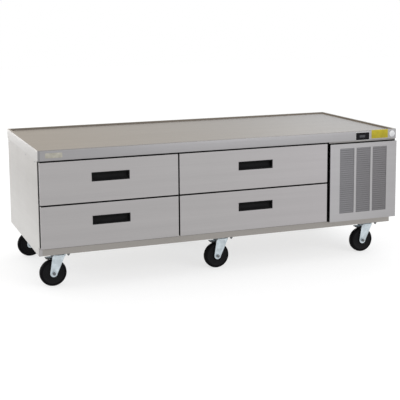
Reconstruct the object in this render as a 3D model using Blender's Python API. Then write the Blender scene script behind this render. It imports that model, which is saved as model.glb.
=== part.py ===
"""Refrigerated chef base: a low four-drawer stand on casters, with a machine bay at its right end.

Metres, +Z up. The front faces -Y and the origin is on the floor, under the middle of the stand.
"""

import math

import bmesh
import bpy
from mathutils import Matrix, Vector

# Overall size, over the rim of the top, the front trim and the floor
WIDTH = 1.854
DEPTH = 0.816
HEIGHT = 0.660

# Clearances
SEAT = 0.0003
SLIDE_GAP = 0.0010
BORE_GAP = 0.0005
HOLE_GAP = 0.0006
OVERRUN = 0.0050

# Sheets
SHEET = 0.0015
TOP_SHEET = 0.0020
LINER_SHEET = 0.0012

# Top with its raised rim and turned-down apron
APRON_HEIGHT = 0.049
RIM_HEIGHT = 0.008
RIM_WIDTH = 0.019
RIM_SLOPE = 0.006
EDGE_ROUND = 0.003
CORNER_RADIUS = 0.012
REAR_CORNER_RADIUS = 0.004
MIN_CORNER_SHARE = 0.15
CORNER_STEPS = 4
SIDE_OVERHANG = 0.003
REAR_OVERHANG = 0.006
TRIM_PROUD = 0.002

# Cabinet
FRONT_REACH = 0.036
FRAME_THICKNESS = 0.006
RAIL_SETBACK = 0.018
RAIL_HEIGHT = 0.043
BASE_SHEET = 0.0020
SIDE_WALL = 0.044
BAY_WALL = 0.050
BACK_WALL = 0.045
LINER_STEP = 0.005
MULLION_WIDTH = 0.048
LAP = 0.019
BULKHEAD_STEP = 0.003

# Drawer fronts
FRONT_MARGIN = 0.0065
LEFT_FRONT_WIDTH = 0.656
FRONT_GAP = 0.007
FRONT_FOOT_GAP = 0.002
FRONT_THICKNESS = 0.0295
GASKET_INSET = 0.006
GASKET_WIDTH = 0.012

# Recessed pulls
PULL_WIDTH = 0.180
PULL_HEIGHT = 0.042
PULL_DROP = 0.0585
PULL_FLANGE = 0.004
PULL_WALL = 0.002
PULL_DEPTH = 0.024
PULL_LIP = 0.005

# Drawer frames and their tracks
CRADLE_REAR_GAP = 0.0422
CRADLE_SHEET = 0.002
CRADLE_HEIGHT = 0.060
CRADLE_DROP = 0.012
LEDGE_WIDTH = 0.014
RUNNER_INSET = 0.004
RUNNER_WIDTH = 0.008
RUNNER_HEIGHT = 0.018
RUNNER_RISE = 0.012
TRACK_SHEET = 0.002
TRACK_OVERHANG = 0.0025
STRAP_WIDTH = 0.030
STRAP_PLACE_SHARES = (0.02, 0.32, 0.62, 0.92)

# Louvred panel over the bay
PANEL_WIDTH = 0.385
BAY_GAP = 0.015
LOUVRE_TOP_GAP = 0.0115
LOUVRE_FOOT_LAP = 0.005
PANEL_FLANGE = 0.015
COLUMN_COUNT = 3
COLUMN_GAP = 0.0125
COLUMN_LEFT_MARGIN = 0.0555
COLUMN_RIGHT_MARGIN = 0.0595
COLUMN_TOP_MARGIN = 0.0245
COLUMN_FOOT_MARGIN = 0.042
BLADE_COUNT = 31
BLADE_DEPTH = 0.008
BLADE_SHEET = 0.0014
BLADE_RISE_SHARE = 0.72
BLADE_TENON = 0.0007

# Temperature controller in the apron
CONTROLLER_WIDTH = 0.076
CONTROLLER_HEIGHT = 0.037
CONTROLLER_RIGHT = 0.1625
CONTROLLER_DROP = 0.0035
CONTROLLER_BEZEL_LAP = 0.003
CONTROLLER_BODY_DEPTH = 0.026

# Casters
WHEEL_DIAMETER = 0.127
WHEEL_WIDTH = 0.032
WHEEL_ROUND = 0.004
WHEEL_RECESS = 0.003
WHEEL_RIM = 0.014
HUB_RADIUS = 0.019
WHEEL_HEADROOM = 0.0155
TRAIL = 0.030
CASTER_INSET_X = 0.107
CASTER_INSET_Y = 0.118
PLATE_LENGTH = 0.100
PLATE_WIDTH = 0.090
PLATE_THICKNESS = 0.0034
CASTER_STRAP_WIDTH = 0.060
RACE_RADIUS = 0.028
RACE_HEIGHT = 0.0075
KINGPIN_RADIUS = 0.007
KINGPIN_HEAD_RADIUS = 0.011
KINGPIN_HEAD_HEIGHT = 0.004
CROWN_RADIUS = 0.033
CROWN_THICKNESS = 0.008
ARM_SHEET = 0.0035
ARM_GAP = 0.0035
ARM_FOOT_RADIUS = 0.0175
ARM_TOP_TRAIL = 0.004
ARM_TOP_LEAD = 0.056
AXLE_RADIUS = 0.006
AXLE_HEAD_RADIUS = 0.009
AXLE_HEAD_HEIGHT = 0.004
PEDAL_PIVOT_BACK = 0.002
PEDAL_PIVOT_DROP = 0.007
PEDAL_BARREL_RADIUS = 0.004
PEDAL_REACH = 0.032
PEDAL_SHEET = 0.0045
PEDAL_WIDTH = 0.034
SHOE_PLACE = 0.020
SHOE_LENGTH = 0.008
SHOE_DEPTH = 0.0047
ROUND_STEPS = 24
SMALL_ROUND_STEPS = 12

# Condensing unit in the bay
TRAY_SIDE_GAP = 0.0102
TRAY_EDGE = 0.0055
TRAY_FRONT_GAP = 0.010
TRAY_REAR_GAP = 0.0422
COIL_SIDE_GAP = 0.0302
COIL_DEPTH = 0.060
COIL_HEIGHT = 0.300
COIL_PLATE = 0.004
COIL_PLATE_LIP = 0.008
COIL_FRONT_GAP = 0.050
SHROUD_DEPTH = 0.045
SHROUD_SHEET = 0.002
SHROUD_MOUTH_MARGIN = 0.022
FAN_TIP_GAP = 0.008
FAN_HUB_RADIUS = 0.022
FAN_HUB_LENGTH = 0.018
FAN_BLADE_SHEET = 0.002
FAN_BLADE_DEPTH = 0.022
FAN_BLADE_COUNT = 5
FAN_ROOT_SHARE = 0.14
FAN_TIP_SHARE = 0.36
MOTOR_RADIUS = 0.040
MOTOR_LENGTH = 0.060
MOTOR_SHAFT_RADIUS = 0.004
MOTOR_BACK_GAP = 0.006
MOTOR_ARM_WIDTH = 0.012
COMPRESSOR_RADIUS = 0.075
COMPRESSOR_HEIGHT = 0.185
COMPRESSOR_DOME = 0.040
DOME_SHARES = ((1.0, 0.0), (0.97, 0.30), (0.85, 0.62), (0.62, 0.86), (0.35, 0.97))
COMPRESSOR_PLACE_X = 0.175
COMPRESSOR_FRONT_GAP_SHARE = 0.17
COMPRESSOR_BACK_GAP_SHARE = 0.20
COMPRESSOR_FOOT_WIDTH = 0.190
COMPRESSOR_FOOT_LENGTH = 0.170
COMPRESSOR_FOOT_SHEET = 0.004
COMPRESSOR_FOOT_RISE = 0.012
GROMMET_RADIUS = 0.011
GROMMET_INSET = 0.016
STUB_RADIUS = 0.006
STUB_LENGTH = 0.022
STUB_RISE = 0.120
CONDENSATE_SIDE_GAP = 0.035
CONDENSATE_REAR_GAP = 0.030
CONDENSATE_HEIGHT = 0.050
CONTROL_BOX_WIDTH = 0.075
CONTROL_BOX_LENGTH = 0.160
CONTROL_BOX_HEIGHT = 0.110
CONTROL_BOX_TOP_GAP = 0.040
CONTROL_BOX_PLACE_Y = 0.300
GLAND_RADIUS = 0.012
GLAND_FLANGE_RADIUS = 0.017
GLAND_FLANGE_HEIGHT = 0.004
GLAND_INSIDE = 0.012
GLAND_BORE_RADIUS = 0.006
GLAND_PLACE_X = 0.060
GLAND_DROP = 0.0677
VENT_COUNT = 9
VENT_WIDTH = 0.170
VENT_HEIGHT = 0.012
VENT_PITCH = 0.026
VENT_RISE = 0.110

# Evaporator behind the right-hand drawers
EVAP_WIDTH = 0.400
EVAP_DEPTH = 0.105
EVAP_SIDE_GAP = 0.010
EVAP_RISE = 0.045
EVAP_HEAD_GAP = 0.034
EVAP_SHEET = 0.0015
EVAP_MOUTH_RADIUS = 0.068
EVAP_TIP_GAP = 0.006
EVAP_FAN_PLACE = 0.090
EVAP_COIL_START = 0.182
EVAP_COIL_GAP = 0.013
EVAP_COIL_DEPTH = 0.075
EVAP_COIL_MARGIN = 0.025
EVAP_MOTOR_RADIUS = 0.026
EVAP_MOTOR_LENGTH = 0.030
EVAP_ARM_WIDTH = 0.010
EVAP_SLOT_WIDTH = 0.160
EVAP_SLOT_HEIGHT = 0.010
EVAP_SLOT_PITCH = 0.030
EVAP_SLOT_MARGIN = 0.055
LINE_RADIUS = 0.010
LINE_HOLE = 0.030
LINE_DROP = 0.090
LINE_BEND = 0.050
LINE_HANDLE = 0.010
LINE_POINTS_PER_BEND = 5
LINE_ROUND_STEPS = 2

# Places that follow from the sizes
TRIM_Y = -DEPTH / 2
FACE_Y = TRIM_Y + TRIM_PROUD
REAR_Y = DEPTH / 2
APRON_Z = HEIGHT - APRON_HEIGHT
SURFACE_Z = HEIGHT - RIM_HEIGHT
UNDERSIDE_Z = SURFACE_Z - TOP_SHEET
CABINET_TOP = UNDERSIDE_Z - SEAT
SIDE_X = WIDTH / 2 - SIDE_OVERHANG
INNER_X = SIDE_X - SHEET - SEAT
BACK_Y = REAR_Y - REAR_OVERHANG
FOAM_BACK = BACK_Y - SHEET - SEAT
CROWN_Z = WHEEL_DIAMETER + WHEEL_HEADROOM
RACE_Z = CROWN_Z + CROWN_THICKNESS + SEAT
PLATE_Z = (RACE_Z + RACE_HEIGHT, RACE_Z + RACE_HEIGHT + PLATE_THICKNESS)
BASE_CLEARANCE = PLATE_Z[1] + SEAT
CASTER_X = WIDTH / 2 - CASTER_INSET_X
CASTER_Y = DEPTH / 2 - CASTER_INSET_Y
FRAME_Y = FACE_Y + FRONT_REACH
FRAME_BACK = FRAME_Y + FRAME_THICKNESS
RAIL_Y = FRAME_Y + RAIL_SETBACK
RAIL_TOP = BASE_CLEARANCE + RAIL_HEIGHT
FLOOR_Z = BASE_CLEARANCE + BASE_SHEET + SEAT
LEFT_FRONT = (-WIDTH / 2 + FRONT_MARGIN, -WIDTH / 2 + FRONT_MARGIN + LEFT_FRONT_WIDTH)
PANEL_X = (WIDTH / 2 - PANEL_WIDTH, WIDTH / 2)
PANEL_Z = (RAIL_TOP - LOUVRE_FOOT_LAP, APRON_Z - LOUVRE_TOP_GAP)
RIGHT_FRONT = (LEFT_FRONT[1] + FRONT_GAP, PANEL_X[0] - BAY_GAP)
FRONTS_Z = (RAIL_TOP + FRONT_FOOT_GAP, APRON_Z - FRONT_GAP)
FRONT_HEIGHT = (FRONTS_Z[1] - FRONTS_Z[0] - FRONT_GAP) / 2
LOWER_FRONT = (FRONTS_Z[0], FRONTS_Z[0] + FRONT_HEIGHT)
UPPER_FRONT = (FRONTS_Z[1] - FRONT_HEIGHT, FRONTS_Z[1])
BULKHEAD_X = RIGHT_FRONT[1] + BULKHEAD_STEP
BAY_X = BULKHEAD_X + SHEET + SEAT
MULLION_X = (LEFT_FRONT[1] + RIGHT_FRONT[0]) / 2
LEFT_OPENING = (-SIDE_X + SIDE_WALL, MULLION_X - MULLION_WIDTH / 2)
RIGHT_OPENING = (MULLION_X + MULLION_WIDTH / 2, BULKHEAD_X - BAY_WALL)
UPPER_OPENING = (UPPER_FRONT[0] + LAP, UPPER_FRONT[1] - LAP)
LOWER_OPENING = (LOWER_FRONT[0] + LAP, LOWER_FRONT[1] - LAP)
LINER_X = (LEFT_OPENING[0], RIGHT_OPENING[1])
LINER_Z = (LOWER_OPENING[0] - LINER_STEP, UPPER_OPENING[1] + LINER_STEP)
LINER_BACK = BACK_Y - BACK_WALL
COLUMNS = {"left": (LEFT_FRONT, LEFT_OPENING), "right": (RIGHT_FRONT, RIGHT_OPENING)}
ROWS = {"upper": (UPPER_FRONT, UPPER_OPENING), "lower": (LOWER_FRONT, LOWER_OPENING)}
EVAP_X = (LINER_X[1] - EVAP_SIDE_GAP - EVAP_WIDTH, LINER_X[1] - EVAP_SIDE_GAP)
EVAP_Y = (LINER_BACK - SEAT - EVAP_DEPTH, LINER_BACK - SEAT)
EVAP_Z = (LINER_Z[0] + EVAP_RISE, LINER_Z[1] - EVAP_HEAD_GAP)
CRADLE_BACK = EVAP_Y[0] - CRADLE_REAR_GAP
TRACK_Y = (FRAME_BACK + SLIDE_GAP, CRADLE_BACK + TRACK_OVERHANG)
TRACK_LENGTH = TRACK_Y[1] - TRACK_Y[0]
LINE_Y = EVAP_Y[0] + EVAP_DEPTH / 2
LINE_Z = EVAP_Z[1] - LINE_DROP
TRAY_Z = FLOOR_Z + BASE_SHEET + SEAT
TRAY_X = (BAY_X + TRAY_SIDE_GAP, INNER_X - TRAY_SIDE_GAP)
TRAY_Y = (RAIL_Y + TRAY_FRONT_GAP, FOAM_BACK - TRAY_REAR_GAP)
COIL_X = (BAY_X + COIL_SIDE_GAP, INNER_X - COIL_SIDE_GAP)
COIL_Y = TRAY_Y[0] + COIL_FRONT_GAP
SHROUD_MOUTH_RADIUS = min(COIL_X[1] - COIL_X[0], COIL_HEIGHT) / 2 - SHROUD_MOUTH_MARGIN
FAN_RADIUS = SHROUD_MOUTH_RADIUS - FAN_TIP_GAP
EVAP_FAN_RADIUS = EVAP_MOUTH_RADIUS - EVAP_TIP_GAP
GLAND_X = BAY_X + GLAND_PLACE_X
GLAND_Z = CABINET_TOP - GLAND_DROP
CONTROLLER_X = WIDTH / 2 - CONTROLLER_RIGHT - CONTROLLER_WIDTH / 2
CONTROLLER_Z = APRON_Z + APRON_HEIGHT / 2 - CONTROLLER_DROP
COMPRESSOR_X = BAY_X + COMPRESSOR_PLACE_X
SHROUD_Y = (COIL_Y + COIL_DEPTH + SEAT, COIL_Y + COIL_DEPTH + SEAT + SHROUD_DEPTH)
MOTOR_Y = SHROUD_Y[1] + FAN_HUB_LENGTH / 2 + MOTOR_BACK_GAP
MOTOR_END = MOTOR_Y + MOTOR_LENGTH
CONDENSATE_BACK = TRAY_Y[1] - BASE_SHEET - SEAT - CONDENSATE_REAR_GAP
FREE_LENGTH = CONDENSATE_BACK - MOTOR_END - COMPRESSOR_FOOT_LENGTH
FOOT_FRONT = MOTOR_END + FREE_LENGTH * COMPRESSOR_FRONT_GAP_SHARE
FOOT_BACK = FOOT_FRONT + COMPRESSOR_FOOT_LENGTH
CONDENSATE_FRONT = FOOT_BACK + FREE_LENGTH * COMPRESSOR_BACK_GAP_SHARE
COMPRESSOR_Y = (FOOT_FRONT + FOOT_BACK) / 2
FOOT_Z = TRAY_Z + COMPRESSOR_FOOT_RISE
CAN_Z = FOOT_Z + COMPRESSOR_FOOT_SHEET / 2
GRID_DIGITS = 6
FLAT_ANGLE = math.radians(0.5)
SHARP_ANGLE = math.radians(35)

# Colour, roughness and metallic value of each finish
FINISHES = {
    "stainless": ((0.44, 0.43, 0.42), 0.36, 1.0),
    "liner_steel": ((0.52, 0.52, 0.53), 0.42, 1.0),
    "zinc": ((0.62, 0.67, 0.70), 0.34, 1.0),
    "black_plastic": ((0.012, 0.012, 0.013), 0.45, 0.0),
    "gasket_vinyl": ((0.020, 0.020, 0.021), 0.60, 0.0),
    "wheel_rubber": ((0.016, 0.016, 0.017), 0.55, 0.0),
    "insulation": ((0.72, 0.62, 0.34), 0.90, 0.0),
    "black_paint": ((0.020, 0.020, 0.022), 0.40, 0.0),
    "aluminium": ((0.66, 0.66, 0.67), 0.40, 1.0),
    "line_foam": ((0.045, 0.045, 0.047), 0.75, 0.0),
}


def finish(name):
    """The material of that name, made on first use."""
    found = bpy.data.materials.get(name)
    if found:
        return found
    colour, roughness, metallic = FINISHES[name]
    made = bpy.data.materials.new(name)
    made.use_nodes = True
    shader = made.node_tree.nodes["Principled BSDF"]
    shader.inputs["Base Color"].default_value = (*colour, 1.0)
    shader.inputs["Roughness"].default_value = roughness
    shader.inputs["Metallic"].default_value = metallic
    return made


def centred(middle, size):
    return middle - size / 2, middle + size / 2


def grown(span, more):
    return span[0] - more, span[1] + more


def new_object(name, bm, look=None):
    """An object made of this mesh, with its faces turned outwards."""
    bmesh.ops.recalc_face_normals(bm, faces=bm.faces)
    mesh = bpy.data.meshes.new(name)
    bm.to_mesh(mesh)
    bm.free()
    obj = bpy.data.objects.new(name, mesh)
    bpy.context.scene.collection.objects.link(obj)
    if look:
        mesh.materials.append(finish(look))
    return obj


def blocks(name, solid, holes=(), look=None):
    """One closed body: the blocks joined, less the holes. Each is ((x0, x1), (y0, y1), (z0, z1))."""
    solid, holes = (
        [[[round(edge, GRID_DIGITS) for edge in side] for side in block] for block in group]
        for group in (solid, holes)
    )
    planes = [sorted({edge for block in (*solid, *holes) for edge in block[axis]}) for axis in range(3)]
    counts = [len(plane) - 1 for plane in planes]

    def spans(block):
        ends = [[plane.index(edge) for edge in side] for plane, side in zip(planes, block)]
        return {
            (i, j, k)
            for i in range(*ends[0])
            for j in range(*ends[1])
            for k in range(*ends[2])
        }

    cells = set().union(*(spans(block) for block in solid)) - set().union(*(spans(hole) for hole in holes))
    bm = bmesh.new()
    corners = {}

    def corner(place):
        if place not in corners:
            corners[place] = bm.verts.new([planes[axis][place[axis]] for axis in range(3)])
        return corners[place]

    for cell in sorted(cells):
        for axis in range(3):
            for side in (0, 1):
                beyond = list(cell)
                beyond[axis] += 2 * side - 1
                if tuple(beyond) in cells and 0 <= beyond[axis] < counts[axis]:
                    continue
                first, second = [a for a in range(3) if a != axis]
                ring = []
                for step in ((0, 0), (1, 0), (1, 1), (0, 1)):
                    place = list(cell)
                    place[axis] += side
                    place[first] += step[0]
                    place[second] += step[1]
                    ring.append(corner(tuple(place)))
                bm.faces.new(ring)
    bmesh.ops.recalc_face_normals(bm, faces=bm.faces)
    bmesh.ops.dissolve_limit(bm, angle_limit=FLAT_ANGLE, verts=bm.verts, edges=bm.edges)
    return new_object(name, bm, look)


def sheet_box(x, y, z, wall, open_sides):
    """The block and the hole of a sheet-metal box, with the sides named such as 'y-' left open."""
    inside = []
    for axis, (low, high) in zip("xyz", (x, y, z)):
        low_end = low - OVERRUN if axis + "-" in open_sides else low + wall
        high_end = high + OVERRUN if axis + "+" in open_sides else high - wall
        inside.append((low_end, high_end))
    return (x, y, z), tuple(inside)


def turned(profile, steps, hollow=False):
    """A profile of (radius, height) points turned about Z. A radius of zero closes an end."""
    bm = bmesh.new()
    rings = []
    for radius, height in profile:
        if radius == 0:
            rings.append([bm.verts.new((0, 0, height))])
            continue
        turns = [2 * math.pi * step / steps - math.pi / 2 for step in range(steps)]
        rings.append([bm.verts.new((radius * math.cos(a), radius * math.sin(a), height)) for a in turns])
    pairs = list(zip(rings, rings[1:]))
    if hollow:
        pairs.append((rings[-1], rings[0]))
    for low, high in pairs:
        for step in range(steps):
            after = (step + 1) % steps
            near = [low[turn % len(low)] for turn in (step, after)]
            far = [high[turn % len(high)] for turn in (after, step)]
            bm.faces.new(dict.fromkeys(near + far))
    if not hollow:
        for ring in (rings[0], rings[-1]):
            if len(ring) > 1:
                bm.faces.new(ring)
    return bm


def cylinder(radius, low, high, steps=SMALL_ROUND_STEPS):
    return turned(((radius, low), (radius, high)), steps)


def prism(outline, low, high):
    """An outline in X and Z, drawn out along Y from low to high."""
    bm = bmesh.new()
    near = [bm.verts.new((x, low, z)) for x, z in outline]
    far = [bm.verts.new((x, high, z)) for x, z in outline]
    bm.faces.new(near)
    bm.faces.new(far)
    for index in range(len(outline)):
        after = (index + 1) % len(outline)
        bm.faces.new((near[index], near[after], far[after], far[index]))
    return bm


def moved(bm, place=(0, 0, 0), turn=None):
    """The mesh turned, then moved to its place."""
    if turn:
        bmesh.ops.rotate(bm, verts=bm.verts, cent=(0, 0, 0), matrix=turn)
    bmesh.ops.translate(bm, verts=bm.verts, vec=place)
    return bm


ALONG_Y = Matrix.Rotation(-math.pi / 2, 3, "X")
ALONG_X = Matrix.Rotation(math.pi / 2, 3, "Y")


def combined(obj, operation, *others):
    """Joins other meshes to the object, cuts them from it, or keeps what they share."""
    for bm in others:
        other = new_object(obj.name + "_tool", bm)
        step = obj.modifiers.new("combine", "BOOLEAN")
        step.operation = operation
        step.object = other
        bpy.context.view_layer.update()
        graph = bpy.context.evaluated_depsgraph_get()
        result = bpy.data.meshes.new_from_object(obj.evaluated_get(graph))
        obj.modifiers.clear()
        obj.data = result
        bpy.data.objects.remove(other)
    return obj


def round_shaded(obj):
    obj.data.shade_smooth()
    obj.data.set_sharp_from_angle(angle=SHARP_ANGLE)
    return obj


def at_origin(obj, place):
    """Puts the object's origin at this place, on its joint's axis, without moving its shape."""
    obj.data.transform(Matrix.Translation(-Vector(place)))
    obj.location = place
    return obj


def clear_scene():
    for obj in list(bpy.data.objects):
        bpy.data.objects.remove(obj)


def rounded_ring(bm, inset, z):
    """A rectangle with round corners, this far inside the outline of the top."""
    ring = []
    for quarter, (side, front) in enumerate(((1, False), (-1, False), (-1, True), (1, True))):
        full = CORNER_RADIUS if front else REAR_CORNER_RADIUS
        radius = max(full - inset, full * MIN_CORNER_SHARE)
        x = side * (WIDTH / 2 - inset - radius)
        y = FACE_Y + inset + radius if front else REAR_Y - inset - radius
        for step in range(CORNER_STEPS + 1):
            turn = (quarter + step / CORNER_STEPS) * math.pi / 2
            ring.append(bm.verts.new((x + radius * math.cos(turn), y + radius * math.sin(turn), z)))
    return ring


def make_worktop():
    """The top sheet with its raised rim, its apron and the return behind the front apron."""
    crest = RIM_WIDTH - RIM_SLOPE
    outer = (
        (0, APRON_Z),
        (0, HEIGHT - EDGE_ROUND),
        (EDGE_ROUND, HEIGHT),
        (crest, HEIGHT),
        (RIM_WIDTH, SURFACE_Z),
    )
    inner = (
        (RIM_WIDTH, UNDERSIDE_Z),
        (crest, HEIGHT - TOP_SHEET),
        (TOP_SHEET, HEIGHT - TOP_SHEET - EDGE_ROUND / 2),
        (TOP_SHEET, APRON_Z),
    )
    bm = bmesh.new()
    rings = [rounded_ring(bm, inset, z) for inset, z in (*outer, *inner)]
    for low, high in zip(rings, rings[1:] + rings[:1]):
        if low is rings[len(outer) - 1]:
            bm.faces.new(low)
            bm.faces.new(high)
            continue
        for index in range(len(low)):
            after = (index + 1) % len(low)
            bm.faces.new((low[index], low[after], high[after], high[index]))
    top = new_object("worktop", bm, "stainless")
    reach = WIDTH / 2 - TOP_SHEET / 2 - CORNER_RADIUS
    flange = blocks(
        "flange",
        [((-reach, reach), (FACE_Y + TOP_SHEET / 2, FRAME_Y - SEAT), (APRON_Z, APRON_Z + TOP_SHEET))],
    )
    body_x, body_z = controller_body()
    through = (FACE_Y - OVERRUN, FACE_Y + TOP_SHEET + OVERRUN)
    window = blocks("window", [(grown(body_x, HOLE_GAP), through, grown(body_z, HOLE_GAP))])
    combined(top, "UNION", taken(flange))
    combined(top, "DIFFERENCE", taken(window))
    round_shaded(top)


def controller_body():
    """The width and height that the controller's body takes in the apron."""
    lap = 2 * CONTROLLER_BEZEL_LAP
    return centred(CONTROLLER_X, CONTROLLER_WIDTH - lap), centred(CONTROLLER_Z, CONTROLLER_HEIGHT - lap)


def taken(obj):
    """The mesh of a helper object, which is removed."""
    bm = bmesh.new()
    bm.from_mesh(obj.data)
    bpy.data.objects.remove(obj)
    return bm


def make_outer_panels():
    """The two side panels, the back panel with its vents and the base pan with the front rail."""
    for name, side in (("left_side_panel", -1), ("right_side_panel", 1)):
        across = tuple(sorted((side * SIDE_X, side * (SIDE_X - SHEET))))
        blocks(
            name,
            [(across, (FRAME_Y, BACK_Y), (BASE_CLEARANCE, CABINET_TOP))],
            [
                (
                    across,
                    (FRAME_Y - OVERRUN, RAIL_Y + BASE_SHEET + SEAT),
                    (BASE_CLEARANCE - OVERRUN, RAIL_TOP),
                )
            ],
            "stainless",
        )
    vent_x = centred((BAY_X + INNER_X) / 2, VENT_WIDTH)
    through = (BACK_Y - SHEET - OVERRUN, BACK_Y + OVERRUN)
    vent_heights = [BASE_CLEARANCE + VENT_RISE + row * VENT_PITCH for row in range(VENT_COUNT)]
    vents = [(vent_x, through, (low, low + VENT_HEIGHT)) for low in vent_heights]
    back = blocks(
        "back_panel",
        [((-INNER_X, INNER_X), (BACK_Y - SHEET, BACK_Y), (BASE_CLEARANCE, CABINET_TOP))],
        vents,
        "stainless",
    )
    gland = cylinder(GLAND_RADIUS + BORE_GAP, *through)
    combined(back, "DIFFERENCE", moved(gland, (GLAND_X, 0, GLAND_Z), ALONG_Y))
    blocks(
        "base_pan",
        [
            ((-INNER_X, INNER_X), (RAIL_Y, FOAM_BACK), (BASE_CLEARANCE, BASE_CLEARANCE + BASE_SHEET)),
            ((-SIDE_X, SIDE_X), (RAIL_Y, RAIL_Y + BASE_SHEET), (BASE_CLEARANCE, RAIL_TOP - SEAT)),
            ((-SIDE_X, SIDE_X), (FRAME_Y, RAIL_Y), (RAIL_TOP - SEAT - BASE_SHEET, RAIL_TOP - SEAT)),
        ],
        look="stainless",
    )


def line_hole(x):
    """The square hole that the refrigerant line takes through a wall between these two places."""
    half = LINE_HOLE / 2
    return (x, (LINE_Y - half, LINE_Y + half), (LINE_Z - half, LINE_Z + half))


def make_insulated_walls():
    """The foam, the liner inside it, the bay bulkhead with its front frame, and the face frame."""
    front = FRAME_BACK + SEAT
    gap = LINER_SHEET + SEAT
    blocks(
        "cabinet_insulation",
        [((-INNER_X, BULKHEAD_X - SEAT), (front, FOAM_BACK), (FLOOR_Z, CABINET_TOP))],
        [
            (
                (LINER_X[0] - gap, LINER_X[1] + gap),
                (front - OVERRUN, LINER_BACK + gap),
                (LINER_Z[0] - gap, LINER_Z[1] + gap),
            ),
            ((-SIDE_X, SIDE_X), (front - OVERRUN, RAIL_Y + BASE_SHEET + SEAT), (FLOOR_Z, RAIL_TOP)),
            line_hole((LINER_X[1], BULKHEAD_X + OVERRUN)),
        ],
        "insulation",
    )
    outside = LINER_SHEET
    shell, inside = sheet_box(
        (LINER_X[0] - outside, LINER_X[1] + outside),
        (front, LINER_BACK + outside),
        (LINER_Z[0] - outside, LINER_Z[1] + outside),
        LINER_SHEET,
        ("y-",),
    )
    side_hole = line_hole((LINER_X[1], LINER_X[1] + outside))
    blocks("interior_liner", [shell], [inside, side_hole], "liner_steel")
    bulkhead_x = (BULKHEAD_X, BULKHEAD_X + SHEET)
    frame_y, frame_z = (FRAME_Y, FRAME_BACK), (RAIL_TOP, CABINET_TOP)
    through = (FRAME_Y - OVERRUN, FRAME_BACK + OVERRUN)
    bay_x = (PANEL_X[0] + PANEL_FLANGE, INNER_X - PANEL_FLANGE)
    blocks(
        "bay_bulkhead",
        [
            (bulkhead_x, (RAIL_Y + BASE_SHEET + SEAT, FOAM_BACK), (FLOOR_Z, CABINET_TOP)),
            (bulkhead_x, (FRAME_Y, FOAM_BACK), frame_z),
            ((BULKHEAD_X, INNER_X), frame_y, frame_z),
        ],
        [line_hole(bulkhead_x), (bay_x, through, grown(PANEL_Z, -PANEL_FLANGE))],
        "stainless",
    )
    holes = [
        (opening_x, through, opening_z)
        for _, opening_x in COLUMNS.values()
        for _, opening_z in ROWS.values()
    ]
    blocks("face_frame", [((-INNER_X, BULKHEAD_X - SEAT), frame_y, frame_z)], holes, "stainless")


def runner_heights(opening_z):
    """The lowest and highest place of a drawer runner in this row."""
    low = opening_z[1] - CRADLE_DROP - CRADLE_HEIGHT + RUNNER_RISE
    return low, low + RUNNER_HEIGHT


def channel(edge, side, opening_z):
    """Three blocks of the channel on the wall at this edge, which opens towards side."""
    low, high = runner_heights(opening_z)
    low, high = low - SEAT, high + SLIDE_GAP
    wall = (edge + side * SEAT, edge + side * (SEAT + TRACK_SHEET))
    mouth = edge + side * (RUNNER_INSET + RUNNER_WIDTH - SLIDE_GAP)
    across = tuple(sorted((wall[0], mouth)))
    return [
        (tuple(sorted(wall)), TRACK_Y, (low - TRACK_SHEET, high + TRACK_SHEET)),
        (across, TRACK_Y, (low - TRACK_SHEET, low)),
        (across, TRACK_Y, (high, high + TRACK_SHEET)),
    ]


def strap_places():
    starts = [TRACK_Y[0] + share * TRACK_LENGTH for share in STRAP_PLACE_SHARES]
    return [(start, start + STRAP_WIDTH) for start in starts]


def make_tracks():
    """The channels that carry the drawers, on straps at the walls and on posts in the middle."""
    between = (LINER_Z[0] + SEAT, LINER_Z[1] - SEAT)
    for place, edge, side in (("left", LEFT_OPENING[0], 1), ("right", RIGHT_OPENING[1], -1)):
        wall = tuple(sorted((edge + side * SEAT, edge + side * (SEAT + TRACK_SHEET))))
        solid = [(wall, place, between) for place in strap_places()]
        for _, opening_z in ROWS.values():
            solid += channel(edge, side, opening_z)
        blocks(f"{place}_track_frame", solid, look="liner_steel")
    edges = (LEFT_OPENING[1], RIGHT_OPENING[0])
    solid = [(grown(edges, SEAT), place, between) for place in strap_places()]
    for _, opening_z in ROWS.values():
        solid += channel(edges[0], -1, opening_z) + channel(edges[1], 1, opening_z)
    blocks("center_track_frame", solid, look="liner_steel")


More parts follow.
